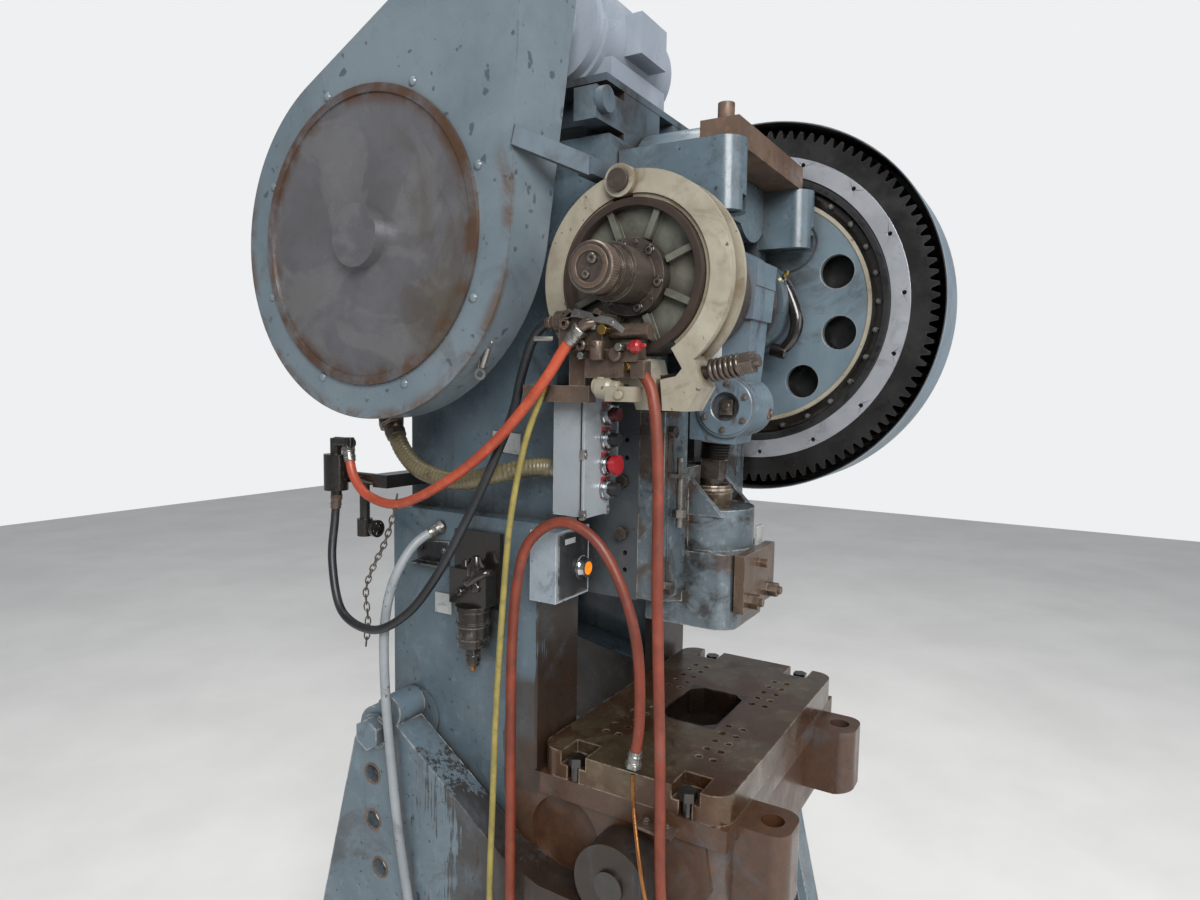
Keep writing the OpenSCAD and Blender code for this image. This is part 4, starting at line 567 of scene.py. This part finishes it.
# Hoses, in metres from the slide centre, the shaft axis and the floor, each named like its CAD part
hoses = {
    "dropHose": {"radius": 0.01, "finish": "hoseRed", "slot": "red_rubber", "body": "frame", "route": [
        (-0.414, -0.0245, 1.634), (-0.416, -0.048, 1.618), (-0.42, -0.07, 1.576), (-0.42, -0.082, 1.45),
        (-0.42, -0.086, 1.235), (-0.42, -0.098, 0.95), (-0.424, -0.108, 0.702), (-0.42, -0.128, 0.59),
        (-0.398, -0.142, 0.52), (-0.36, -0.148, 0.5)]},
    "loopHose": {"radius": 0.01, "finish": "hoseRed", "slot": "red_rubber", "bend": (0.74, 0.5), "route": [
        (-0.4, -0.036, 0.925), (-0.4, -0.046, 1.006), (-0.402, -0.04, 1.133), (-0.405, -0.008, 1.24),
        (-0.41, 0.046, 1.322), (-0.418, 0.118, 1.348), (-0.428, 0.18, 1.304), (-0.432, 0.204, 1.22),
        (-0.438, 0.21, 1.1), (-0.445, 0.206, 0.979), (-0.447, 0.204, 0.74), (-0.447, 0.204, 0.48),
        (-0.446, 0.204, 0.336)]},
    "orangeHose": {"radius": 0.01, "finish": "hoseOrange", "slot": "red_rubber", "body": "frame", "route": [
        (-0.452, 0.062, 1.69), (-0.452, 0.088, 1.664), (-0.452, 0.138, 1.598), (-0.45, 0.24, 1.494),
        (-0.444, 0.363, 1.409), (-0.438, 0.498, 1.35), (-0.436, 0.59, 1.356), (-0.434, 0.64, 1.395),
        (-0.43, 0.66, 1.449)]},
    "blackHose": {"radius": 0.009, "finish": "hoseBlack", "slot": "black_rubber", "body": "frame", "route": [
        (-0.415, 0.13, 1.712), (-0.412, 0.152, 1.712), (-0.405, 0.19, 1.684), (-0.402, 0.22, 1.612),
        (-0.405, 0.238, 1.54), (-0.43, 0.28, 1.418), (-0.458, 0.322, 1.31), (-0.472, 0.38, 1.208),
        (-0.474, 0.45, 1.132), (-0.474, 0.543, 1.085), (-0.47, 0.64, 1.108), (-0.452, 0.69, 1.206),
        (-0.434, 0.701, 1.296), (-0.43, 0.7, 1.343)]},
    "yellowHose": {"radius": 0.006, "finish": "hoseYellow", "slot": "yellow_rubber", "bend": (0.8, 0.5),
                   "route": [
        (-0.422, 0.15, 1.606), (-0.426, 0.158, 1.575), (-0.428, 0.188, 1.497), (-0.44, 0.206, 1.39),
        (-0.452, 0.214, 1.271), (-0.466, 0.224, 1.001), (-0.466, 0.232, 0.8), (-0.464, 0.24, 0.623),
        (-0.454, 0.246, 0.46), (-0.446, 0.248, 0.336)]},
    "greyConduit": {"radius": 0.01, "finish": "conduitGrey", "slot": "conduit_skin", "bend": (0.8, 0.5),
                    "route": [
        (-0.355, 0.47, 1.29), (-0.4, 0.492, 1.262), (-0.432, 0.51, 1.21), (-0.446, 0.526, 1.148),
        (-0.45, 0.536, 1.06), (-0.45, 0.532, 0.931), (-0.448, 0.52, 0.803), (-0.446, 0.502, 0.655),
        (-0.446, 0.474, 0.509), (-0.446, 0.446, 0.38), (-0.446, 0.426, 0.25), (-0.446, 0.42, 0.12)]},
    "oliveConduit": {"radius": 0.019, "finish": "conduitOlive", "slot": "conduit_skin", "body": "frame",
        "ribs": True, "route": [
        (-0.36, 0.6, 1.506), (-0.372, 0.556, 1.452), (-0.38, 0.5, 1.416), (-0.38, 0.43, 1.4),
        (-0.38, 0.363, 1.403), (-0.372, 0.3, 1.42), (-0.352, 0.237, 1.434), (-0.336, 0.19, 1.437),
        (-0.336, 0.16, 1.437)]},
    "copperTube": {"radius": 0.004, "finish": "copper", "slot": "copper", "body": "frame", "route": [
        (-0.402, -0.036, 0.903), (-0.412, -0.044, 0.85), (-0.436, -0.07, 0.77), (-0.44, -0.084, 0.715),
        (-0.434, -0.094, 0.672), (-0.412, -0.097, 0.646), (-0.38, -0.102, 0.632), (-0.35, -0.106, 0.626)]},
}


def hosePath(hose, steps):
    return throughPoints([Vector(point) * 1000 for point in hose["route"]], steps)


for name, hose in hoses.items():
    radius = hose["radius"] * 1000
    if hose.get("ribs"):
        path = hosePath(hose, 40)
        count = len(path)
        pipe = Shape().tube(path, lambda t: radius * (0.975 + 0.025 * cos(t * count * 1.15)), 24)
    else:
        pipe = Shape().tube(hosePath(hose, 12), radius, 18)
    node = name.replace("H", "_h").replace("C", "_c").replace("T", "_t")
    thing = pipe.piece(name, hose["finish"], hose.get("body"), hose["slot"], replaces=(node,))
    if hose.get("bend"):
        top, low = hose["bend"]
        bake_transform(thing)
print("hoses laid:", len(hoses))


def hoop(shape, profile, start, sides=48, axis=(1, 0, 0)):
    # revolves a closed outline of (radius, distance) points into a ring
    axis = Vector(axis).normalized()
    side = axis.orthogonal().normalized()
    other = axis.cross(side)
    rings = []
    for a in (2 * pi * k / sides for k in range(sides)):
        out = cos(a) * side + sin(a) * other
        rings.append([Vector(start) + axis * d + out * r for r, d in profile])
    return shape.loft(rings, joined=True)


# Fittings at the hose ends: which hose, which end, ferrule length, body and finish
fittings = {
    "dropTop": ("dropHose", 0, 26, "frame", "brass"), "dropFoot": ("dropHose", -1, 24, "frame", "zinc"),
    "loopTop": ("loopHose", 0, 24, "frame", "zinc"), "loopFoot": ("loopHose", -1, 26, "stand", "zinc"),
    "orangeTop": ("orangeHose", 0, 26, "frame", "zinc"),
    "orangeRear": ("orangeHose", -1, 24, "frame", "zinc"),
    "blackTop": ("blackHose", 0, 24, "frame", "brownIron"),
    "blackRear": ("blackHose", -1, 24, "frame", "brownIron"),
    "yellowTop": ("yellowHose", 0, 20, "frame", "brass"),
    "yellowFoot": ("yellowHose", -1, 22, "stand", "zinc"),
    "greyTop": ("greyConduit", 0, 26, "frame", "zinc"),
    "greyFoot": ("greyConduit", -1, 26, "stand", "zinc"),
    "oliveBox": ("oliveConduit", -1, 26, "frame", "zinc"),
    "oliveRear": ("oliveConduit", 0, 34, "frame", "brownIron")}
for name, (hose, end, length, body, finish) in fittings.items():
    path = hosePath(hoses[hose], 24)
    radius = hoses[hose]["radius"] * 1000
    if end:
        path = path[::-1]
    tip = path[0]
    inner = next((spot for spot in path if (spot - tip).length > length), path[-1])
    along = (inner - tip).normalized()
    sleeve = Shape()
    bore, r = radius - 0.6, radius + 1.2
    profile = [(bore, -2), (r + 2.4, -2), (r + 2.4, 3), (r + 1.2, 4), (r + 1.2, length * 0.45),
               (r + 2, length * 0.5), (r + 2, length * 0.62), (r + 1, length * 0.68),
               (r + 1, length * 0.95), (bore, length)]
    hoop(sleeve, profile, tip, 28, along)
    sleeve.hexagon(tip + along, tip - along * radius, radius * 2.7)
    sleeve.piece(name + "Fitting", finish, body, edge=0.3)
print("fittings made:", len(fittings))

# Screws and cap of the drum hub
hub = {"flangeFace": -387.2, "screwCircle": 57, "screws": 6, "screwTurn": 12, "dowelCircle": 60,
       "endFace": -518, "capRadius": 41.8, "ridge": 0.7, "ridges": 60}


def onShaft(x, radius, degrees):
    a = radians(degrees)
    return Vector((x, radius * cos(a), shaftZ + radius * sin(a)))


def makeHub(set):
    recess, heads, x = Shape(), Shape(), set["flangeFace"]
    for k in range(set["screws"]):
        spot = onShaft(x, set["screwCircle"], set["screwTurn"] + 360 / set["screws"] * k)
        hoop(recess, [(7.6, 0.5), (9.8, 0.5), (10.2, -0.4), (9.6, -0.9), (7.6, -0.7)], spot, 24)
        hoop(heads, [(3.6, 1), (7.4, 1), (7.4, -2.2), (6.8, -2.8), (3.6, -2.8)], spot, 24)
        recess.rod((x + 0.6, *spot.yz), (x - 0.6, *spot.yz), 3.7, 0.2, 6)
    recess.piece("hubRecesses", "greaseBlack", "crank")
    for degrees in (90, 210, 330):
        spot = onShaft(x, set["dowelCircle"], set["screwTurn"] + degrees)
        heads.rod((x + 0.5, *spot.yz), (x - 1.6, *spot.yz), 4, 0.5, 20)
    heads.piece("hubScrews", "greasySteel", "crank")
    cap, end, rings = Shape(), set["endFace"], []
    outer, count = set["capRadius"], 2 * set["ridges"]
    for r, d in ((outer - 1.6, 26), (outer, 24.5), (outer, 3), (outer - 1.6, 0.6)):
        radii = [r + (set["ridge"] if k % 2 and r == outer else 0) for k in range(count)]
        rings.append([onShaft(end + d, radius, 360 / count * k) for k, radius in enumerate(radii)])
    cap.loft(rings)
    rim = [(25, 2), (34, 2), (34.6, -1.6), (33, -2.4), (26, -2.4), (25, -1.8)]
    hoop(cap, rim, (end, 0, shaftZ), 60)
    cap.piece("knurledCap", "brownIron", "crank")
    plugs = Shape()
    for y, z, r in ((-6, shaftZ + 12, 8.5), (5, shaftZ - 13, 6.5)):
        rim = [(r * 0.5, 2), (r, 2), (r, -5), (r * 0.85, -6.5), (r * 0.5, -6.5)]
        hoop(plugs, rim, (end, y, z), 24)
        plugs.hexagon((end + 1, y, z), (end - 3.5, y, z), r * 1.02)
    plugs.piece("capPlugs", "greasySteel", "crank")


# Lips, bolts and folds of the clutch
clutch = {"face": 276, "bolts": 28, "boltCircle": 289.5, "firstBolt": 177.8, "folds": 4, "firstFold": 254,
          "foldStep": 7.5}


def makeClutchFace(set):
    face, bolts, folds = (set["face"], 0, shaftZ), Shape(), Shape()
    lip = [(262, 1), (272, 1), (272.6, -1.2), (271, -2.4), (264, -2.4), (262, -1)]
    hoop(Shape(), lip, face, 120).piece("spiderLip", "creamPaint", "crank")
    seal = [(272.8, 0.6), (298.6, 0.6), (298.8, -0.6), (297, -1.1), (275, -1.1), (273, -0.6)]
    hoop(Shape(), seal, face, 120).piece("spiderSeal", "greaseBlack", "crank")
    for k in range(set["bolts"]):
        y, z = onShaft(0, set["boltCircle"], set["firstBolt"] + 360 / set["bolts"] * k).yz
        bolts.hexagon((268.2, y, z), (262.5, y, z), 11.5, k * 13.0)
        bolts.rod((263, y, z), (259.5, y, z), 3.8, 0.6, 14)
    bolts.piece("spiderBolts", "zinc", "crank")
    for k in range(set["folds"]):
        fold = [(301, 0), (303, -3), (315, -3), (317.5, 0), (315, 3), (303, 3)]
        hoop(folds, fold, (set["firstFold"] + k * set["foldStep"], 0, shaftZ), 120)
    folds.piece("clutchFolds", "rubber", "gear")


makeHub(hub)
makeClutchFace(clutch)

# The connection: its lean, the crankpin's place and the fittings' places along it
rod = {"lean": 4.257, "pinY": -38.16, "pinZ": 1812.85, "bellows": -333, "cover": -252, "coverDown": -36}


def rodSpot(t, x=0.0, y=0.0):
    # a point of the connection: t up its axis from the crankpin, y to the rear
    s, c = sin(radians(rod["lean"])), cos(radians(rod["lean"]))
    return Vector((x, rod["pinY"] + y * c - t * s, rod["pinZ"] + y * s + t * c))


def makeConnection(set):
    bellows, cover, down = Shape(), set["cover"], set["coverDown"]
    profile = [(29.4, 0)]
    for d in range(0, 36, 6):
        profile += [(29.4, 3 + d), (33.5, 5.5 + d), (29.4, 8 + d)]
    bellows.lathe(profile + [(28, 39.4)], rodSpot(set["bellows"]), rodSpot(-1) - rodSpot(0), 36)
    bellows.piece("screwBellows", "greaseBlack", "connection")
    rim = [(30.4, 0.5), (60, 0.5), (60.5, -2.5), (58.5, -4), (32.5, -4), (30.4, -2.5)]
    ring = hoop(Shape(), rim, rodSpot(cover, -59, down), 60)
    ring.piece("wormRing", "rodPaint", "connection")
    bolts = Shape()
    for k in range(6):
        a = radians(30 + 60 * k)
        spot = rodSpot(cover + 49 * sin(a), -63, down + 49 * cos(a))
        bolts.hexagon(spot, spot + Vector((-5.5, 0, 0)), 11, 20.0 * k)
        bolts.rod(spot + Vector((-5, 0, 0)), spot + Vector((-7.5, 0, 0)), 3.4, 0.4, 14)
    spot = rodSpot(-262, 59, -92) + Vector((-20, 0, 0))
    bolts.hexagon(spot + Vector((0, 6, 0)), spot + Vector((0, -10, 0)), 24)
    bolts.rod(spot + Vector((0, -9, 0)), spot + Vector((0, -16, 0)), 8, 1, 18)
    bolts.piece("wormBolts", "brownIron", "connection")
    shaft = Shape().box(rodSpot(cover - 16, -56, down - 16), rodSpot(cover + 14, -43, down + 14))
    shaft.rod(rodSpot(cover, -44, down), rodSpot(cover, -60.5, down), 9, 1)
    shaft.piece("wormSquare", "greasySteel", "connection", edge=1.5)


def makeBallCap(set):
    # cap over the ball seat, open to the rear where the screw swings
    def half(radius, y, first, step):
        turns = (pi * (first + step * k / 24) for k in range(25))
        return [(radius * cos(a), y + radius * sin(a)) for a in turns]

    def outline(outer, inner):
        y, back = set["middle"], set["back"]
        outside, inside = half(outer, y, 1, 1), half(inner, y - 8, 2, -1)
        return [(-outer, back)] + outside + [(outer, back), (inner, back)] + inside + [(-inner, back)]

    cap, low = Shape(), set["low"]
    cap.plate(outline(46, 28), low, low + 46, "xy").plate(outline(48, 30), low + 30, low + 37, "xy")
    cap.piece("ballCap", "bolsterMetal", "slide_group", edge=0.8)


makeConnection(rod)
makeBallCap({"middle": -5.5, "back": 8.6, "low": 1341})
print("crank and connection fitted")

# Greasy arm and its grease line beside the big end
grease = {"x": 180, "arm": 10.5, "swell": 4.5, "line": 2.6,
          "armRoute": ((-96, 1842), (-112, 1806), (-128, 1757), (-119, 1712), (-92, 1684)),
          "lineRoute": ((180, -101, 1862), (183, -128, 1872), (192, -152, 1896), (204, -160, 1932),
                        (214, -148, 1962), (218, -134, 1972))}


def makeGrease(set):
    x = set["x"]
    path = throughPoints([(x, y, z) for y, z in set["armRoute"]], 8)
    arm = Shape().tube(path, lambda t: set["arm"] + set["swell"] * sin(pi * t), 16)
    arm.rod((x, -96, 1838), (x, -96, 1852), 9, 1).rod((x, -106, 1680), (x, -70, 1690), 15, 2)
    arm.piece("greaseArm", "greaseBlack")
    tip = Shape().rod((x, -97, 1850), (x, -102, 1868), 6, 1).hexagon((x, -97, 1852), (x, -99, 1860), 13)
    tip.piece("greaseLineFitting", "brass")
    line = Shape().tube(throughPoints(set["lineRoute"], 10), set["line"], 10)
    line.piece("greaseLine", "hoseBlack")


makeGrease(grease)

# Buttons: legend plates, collars and lid screws
panel = {"front": 89, "buttonX": -305, "topZ": 1544, "pitch": 48, "plate": 17, "reach": 17.8,
         "stopReach": 12.8, "screwX": (-378.5, -292.5), "screwZ": (1358, 1471, 1585)}
smallPanel = {"front": 148, "low": (-372, 1184), "high": (-267, 1313), "button": (-289, 1235),
              "labelLow": (-352, 1290), "labelHigh": (-316, 1301)}


def rectangle(low, high):
    return [low, (high[0], low[1]), high, (low[0], high[1])]


def makePanels(set):
    plates, collars, screws = Shape(), Shape(), Shape()
    x, y, half = set["buttonX"], set["front"], set["plate"]
    collar = [(14.2, 0), (21.5, 0), (21.5, -3.5), (20, -5), (17, -5), (17, -9.5), (15.6, -10.5),
              (14.2, -10.5)]
    for k in range(4):
        z = set["topZ"] - set["pitch"] * k
        plates.plate(rectangle((x - half, z - half), (x + half, z + half + 7)), y - 1.6, y + 0.2)
        hoop(collars, collar, (x, y - 1.4, z), 40, (0, 1, 0))
        reach = set["stopReach"] if k == 2 else set["reach"]
        bezel = [(14, -10), (18.6, -10), (19.2, -11), (18.6, 0.8 - reach), (14, -reach)]
        hoop(collars, bezel, (x, y + 3, z), 40, (0, 1, 0))
    plates.piece("legendPlates", "redPlate", edge=0.5)
    collars.piece("buttonCollars", "chrome")
    for x, z in ((x, z) for x in set["screwX"] for z in set["screwZ"]):
        screws.rod((x, y + 1, z), (x, y - 3, z), 4.2, 0.8, 18)
        screws.box((x - 6, y - 0.4, z - 9), (x + 6, y + 9, z + 9))
    screws.piece("lidScrews", "zinc", edge=0.6)
    seam = Shape().box((-382.6, 94.4, 1351), (-288.4, 97.2, 1352.6))
    seam.box((-382.8, 94.4, 1351), (-381.6, 97.2, 1592)).piece("lidSeal", "rubber")


def makeSmallPanel(set):
    (x, z), y = set["button"], set["front"]
    black = Shape().plate(rectangle(set["low"], set["high"]), y + 0.6, y + 3.2)
    hoop(black, [(16, 1), (23, 1), (23, -2), (16, -2)], (x, y + 1, z), 36, (0, 1, 0))
    black.piece("smallBoxFront", "blackPlate", edge=0.8)
    label = Shape().plate(rectangle(set["labelLow"], set["labelHigh"]), y - 0.3, y + 1)
    label.piece("smallBoxLabel", "plateWhite", edge=0.3)
    collar = [(14, 0), (22, 0), (22.4, -3), (20, -6), (18.6, -14), (14, -14.6)]
    ring = hoop(Shape(), collar, (x, y, z), 40, (0, 1, 0))
    ring.piece("sideButtonCollar", "chrome")


makePanels(panel)
makeSmallPanel(smallPanel)
print("panels fitted")

# Valve cluster between the flywheel guard and the brake
valves = {"x": -440, "ports": ((96, 1706, 9), (44, 1712, 8), (62, 1668, 8.5)),
          "elbow": ((-415, 128, 1712), (-415, 112, 1714), (-418, 100, 1704), (-424, 98, 1690)),
          "bend": ((-452, 62, 1692), (-451, 50, 1702), (-444, 38, 1706), (-432, 30, 1704)),
          "strip": ((92, 1716), (70, 1731), (-8, 1712), (-30, 1694), (-26, 1686), (-4, 1700), (66, 1716))}


def makeValves(set):
    iron, bright, brass, x = Shape(), Shape(), Shape(), set["x"]
    for y, z, r in set["ports"]:
        port = [(r * 0.55, 4), (r + 2, 4), (r + 2, -5), (r, -7), (r * 0.55, -7)]
        hoop(iron, port, (x, y, z), 28)
    iron.tube(throughPoints(set["elbow"], 6), 12, 18).tube(throughPoints(set["bend"], 6), 10.5, 18)
    iron.box((-436, -44, 1640), (-402, -14, 1672)).box((-430, -56, 1612), (-404, -30, 1642))
    iron.rod((-441, 30, 1676), (-441, 30, 1642), 13, 2).rod((-446, -6, 1652), (-404, -6, 1652), 12, 2)
    iron.hexagon((-452, 84, 1722), (-438, 84, 1722), 15).hexagon((-452, 26, 1722), (-438, 26, 1722), 15)
    iron.piece("valveBodies", "brownIron", edge=1.5)
    bright.plate(set["strip"], x - 12, x - 8, "yz")
    bright.rod((x - 16, 152, 1680), (x - 4, 118, 1680), 5, 1).rod((x - 13, 64, 1722), (x - 6, 64, 1722), 5, 1)
    bright.rod((x - 13, -4, 1704), (x - 6, -4, 1704), 5, 1).rod((x - 14, -18, 1664), (x + 2, -18, 1664), 7, 1)
    bright.rod((-444, 34, 1712), (-444, 34, 1694), 6.5, 1).hexagon((-452, 58, 1650), (-438, 58, 1650), 12)
    bright.piece("valveBracket", "zinc", edge=0.6)
    brass.hexagon((-414, -22, 1640), (-414, -2, 1652), 18).hexagon((-452, 16, 1694), (-434, 16, 1694), 17)
    brass.rod((-414, -4, 1651), (-414, 6, 1657), 8, 1)
    brass.piece("valveBrass", "brass", edge=0.4)
    turned = [(4, 0), (9, 2), (11, 7), (11, 16), (8, 20), (3, 21)]
    knob = Shape().lathe(turned, (x, -34, 1664), (0, -1, 0.1), 10)
    knob.rod((x, -54, 1666), (x, -64, 1667), 3.4, 0.8).rod((x, -30, 1664), (x, -37, 1664), 5, 0.8)
    knob.piece("valveKnob", "redKnob", edge=1)
    turned = [(14, 0), (19, 3), (20, 26), (16, 32), (16, 44), (12, 48)]
    cream = Shape().lathe(turned, (-424, 38, 1596), (0, -1, -0.08), 26)
    cream.box((-444, -44, 1572), (-408, 12, 1598)).rod((-452, -18, 1584), (-438, -18, 1584), 8, 1)
    cream.rod((-424, 44, 1598), (-424, 34, 1598), 15, 2).box((-436, 20, 1598), (-412, 32, 1614))
    cream.piece("creamValve", "creamPaint", edge=2.5)


makeValves(valves)
print("valves fitted")

# Chains, with the points they hang through and the pitch of their links
chains = {
    "sideChain": (15, ((-440, 506, 1366), (-440, 521, 1313), (-440, 545, 1258), (-440, 581, 1200),
                       (-440, 600, 1150), (-440, 594, 1089), (-440, 601, 1032))),
    "pinChain": (8, ((-302, -112, 1672), (-301, -116, 1648), (-300, -112, 1620), (-300, -116, 1596),
                     (-300, -112, 1570)))}


def makeChain(name, link, spots):
    shape = Shape()
    path = throughPoints(spots, 60)
    placed, turn = [path[0]], 0
    for b in path[1:]:
        if (b - placed[-1]).length < link:
            continue
        ahead, centre = (b - placed[-1]).normalized(), (b + placed[-1]) / 2
        side = ahead.orthogonal().normalized()
        if turn % 2:
            side = ahead.cross(side)
        rings = []
        for t in (2 * pi * k / 10 for k in range(10)):
            spot = centre + ahead * (link * 0.72 * cos(t)) + side * (link * 0.36 * sin(t))
            rings.append(circle(spot, link * 0.13, (spot - centre).normalized(), ahead.cross(side), 5))
        shape.loft(rings, joined=True)
        placed.append(b)
        turn += 1
    shape.piece(name, "greasySteel")


for name, (link, spots) in chains.items():
    makeChain(name, link, spots)

# Spring clip
clip = {"x": -478, "wire": 2.2, "long": ((240, 1688), (250, 1672), (258, 1640), (262, 1618)),
        "short": ((240, 1688), (232, 1684), (230, 1672))}


def makeClip(set):
    wire, x = Shape(), set["x"]
    for run in (set["long"], set["short"]):
        wire.tube(throughPoints([(x, y, z) for y, z in run], 8), set["wire"], 10)
    wire.rod((x, 238, 1664), (x, 252, 1628), 5.5, 1)
    hoop(wire, [(6, 2), (11, 2), (11, -2), (6, -2)], (x, 256, 1616), 28, (1, 0.2, 0))
    wire.rod((x, 228, 1690), (x + 8, 228, 1690), 5, 1)
    wire.piece("springClip", "zinc")


makeClip(clip)

# Blank plates: body, corners, the two depths and the plane they lie in
plates = {
    "indicatorPlate": ("frame", [(-144, 1640), (-112, 1646), (-112, 1684), (-144, 1678)], -308, -305, "yz"),
    "columnPlate": ("frame", [(438, 1104), (484, 1104), (484, 1148), (438, 1148)], -351.4, -348.8, "yz"),
    "ratingPlate": ("frame", [(300, 1452), (372, 1458), (372, 1500), (300, 1496)], -296, -291.8, "yz"),
    "slideTag": ("slide_group", [(28, 1255), (64, 1255), (64, 1298), (28, 1298)], -103.5, -98, "xz")}
for name, (body, outline, low, high, plane) in plates.items():
    blank = Shape().plate(outline, low, high, plane)
    middle = [sum(p[i] for p in outline) / 4 for i in (0, 1)]
    for u, v in outline:
        a, b = u + (middle[0] - u) * 0.16, v + (middle[1] - v) * 0.16
        ends = [(d, a, b) if plane == "yz" else (a, d, b) for d in (low + 0.5, low - 1.2)]
        blank.rod(*ends, 1.8, 0.3, 12)
    blank.piece(name, "plateWhite", body, edge=0.4)

# Bracket of the drop hose at the bed, and the shelf on the column
shelves = {"bracketZ": 800, "boltX": -376, "boltY": (-52, -94),
           "shelfX": -352.5, "shelfZ": 1212, "screwY": (458, 522)}


def makeShelves(set):
    z, x = set["bracketZ"], set["boltX"]
    bracket = Shape().plate([(-352, -36), (-352, -110), (-403, -113), (-396, -36)], z, z + 5, "xy")
    bracket.box((-352, -110, z - 14), (-348.6, -36, z + 5))
    for y in set["boltY"]:
        bracket.hexagon((x, y, z + 4.5), (x, y, z + 11), 12).rod((x, y, z + 10), (x, y, z + 15), 3.5, 0.6, 16)
    bracket.piece("hoseBracket", "brownIron", edge=1)
    x, z = set["shelfX"], set["shelfZ"]
    shelf = Shape().plate([(444, z), (536, z), (536, z + 44), (444, z + 50)], x, x + 3.7, "yz")
    shelf.box((x - 23.5, 444, z - 3), (x + 3.5, 536, z + 0.5))
    for y in set["screwY"]:
        shelf.rod((x + 0.5, y, z + 28), (x - 4.5, y, z + 28), 5, 1)
    shelf.piece("columnShelf", "blackPlate", edge=0.6)


makeShelves(shelves)
print("small plates and chains made")

# Lubricator: glass, drip tip and head
oiler = {"place": (-384, 350), "glass": 1063, "foot": 1030,
         "headRoute": ((-368, 318, 1212), (-392, 306, 1222), (-404, 322, 1214), (-400, 348, 1196),
                       (-382, 372, 1204), (-368, 384, 1232))}


def makeOiler(set):
    (x, y), z, foot = set["place"], set["glass"], set["foot"]
    turned = [(20, 0), (31, 3), (34.5, 12), (34.5, 18), (33.4, 19), (33.4, 44), (36.5, 45), (36.5, 52),
              (33.4, 53), (33.4, 74), (37, 76), (37, 86), (30, 88)]
    bowl = Shape().lathe(turned, (x, y, z), (0, 0, 1), 40).hexagon((x, y, z + 1), (x, y, z - 17), 30)
    bowl.lathe([(14.6, 0), (16, 2), (16, 14), (14.6, 16)], (x, y, foot), (0, 0, 1), 24)
    bowl.piece("oilerBowl", "oilerSteel")
    tip = Shape().hexagon((x, y, foot), (x, y, foot - 12), 17).rod((x, y, foot - 11), (x, y, foot - 20), 5, 1)
    tip.piece("oilerTip", "copper")
    neck = Shape().tube(throughPoints(set["headRoute"], 8), 9, 14)
    neck.lathe([(16, 0), (20, 3), (20, 22), (12, 30), (9, 42)], (x, y - 8, 1208), (0, 0, 1), 24)
    neck.hexagon((-399, 330, 1190), (-406, 330, 1190), 20).hexagon((-399, 372, 1176), (-406, 372, 1176), 16)
    neck.piece("oilerHead", "greaseBlack", edge=1)


makeOiler(oiler)

# Rusty rims of the incline holes, on their circle round the trunnion
rims = {"x": -430, "centre": (-7, 697), "circle": 604, "first": 4.2, "step": 10, "count": 3}


def makeRims(set):
    shape, (y, z), reach = Shape(), set["centre"], set["circle"]
    rim = [(20.2, 1.5), (25, 1.5), (24.2, -0.9), (22, -1.6), (20.2, -1.2)]
    for k in range(set["count"]):
        a = radians(set["first"] - set["step"] * k)
        hoop(shape, rim, (set["x"], y + reach * cos(a), z + reach * sin(a)), 36)
    shape.piece("holeRims", "rustSteel", "stand")


makeRims(rims)
print("lubricator and hole rims made")

# Floor, surroundings and lights: place, size and power
studio = {"floor": ("#cfcdc9", "#d8d6d2"), "backdrop": (0.86, 0.87, 0.88, 1),
          "world": 0.55, "reflected": 0.28,
          "keyLight": ((-3.2, -2.6, 3.6), 2.2, 235), "fillLight": ((-0.6, -4.4, 2.2), 2.6, 46),
          "topLight": ((0.3, 0.4, 5.2), 2.8, 125)}


def makeStudio(set):
    f = Finish("floorPaint")
    colour = f.mix(f.band(f.clouds(1.2, 6, 0.6), 0.3, 0.7), *(tone(code) for code in set["floor"]))
    finishes["floorPaint"] = f.surface(colour, f.band(f.clouds(3), 0.3, 0.7, 0.5, 0.65))
    floor = Shape().box((-9000, -9000, -20), (9000, 9000, -0.5)).piece("floor", "floorPaint", None)
    world = bpy.data.worlds.new("studio")
    scene.world = world
    world.use_nodes = True
    nodes, links = world.node_tree.nodes, world.node_tree.links
    nodes.clear()
    paths, out = nodes.new("ShaderNodeLightPath"), nodes.new("ShaderNodeOutputWorld")
    dim, white = nodes.new("ShaderNodeBackground"), nodes.new("ShaderNodeBackground")
    share, pick = nodes.new("ShaderNodeMapRange"), nodes.new("ShaderNodeMixShader")
    dim.inputs["Color"].default_value = (0.9, 0.94, 1, 1)
    white.inputs["Color"].default_value = set["backdrop"]
    share.inputs["To Min"].default_value = set["world"]
    share.inputs["To Max"].default_value = set["reflected"]
    links.new(paths.outputs["Is Glossy Ray"], share.inputs["Value"])
    links.new(share.outputs["Result"], dim.inputs["Strength"])
    links.new(paths.outputs["Is Camera Ray"], pick.inputs[0])
    links.new(dim.outputs[0], pick.inputs[1])
    links.new(white.outputs[0], pick.inputs[2])
    links.new(pick.outputs[0], out.inputs[0])
    for name in ("keyLight", "fillLight", "topLight"):
        place, size, power = set[name]
        data = bpy.data.lights.new(name, "AREA")
        data.energy, data.size = power, size
        lamp = bpy.data.objects.new(name, data)
        scene.collection.objects.link(lamp)
        lamp.location = place
        lamp.rotation_euler = (Vector((0, 0, 1.2)) - Vector(place)).to_track_quat("-Z", "Y").to_euler()


makeStudio(studio)
print("studio set")
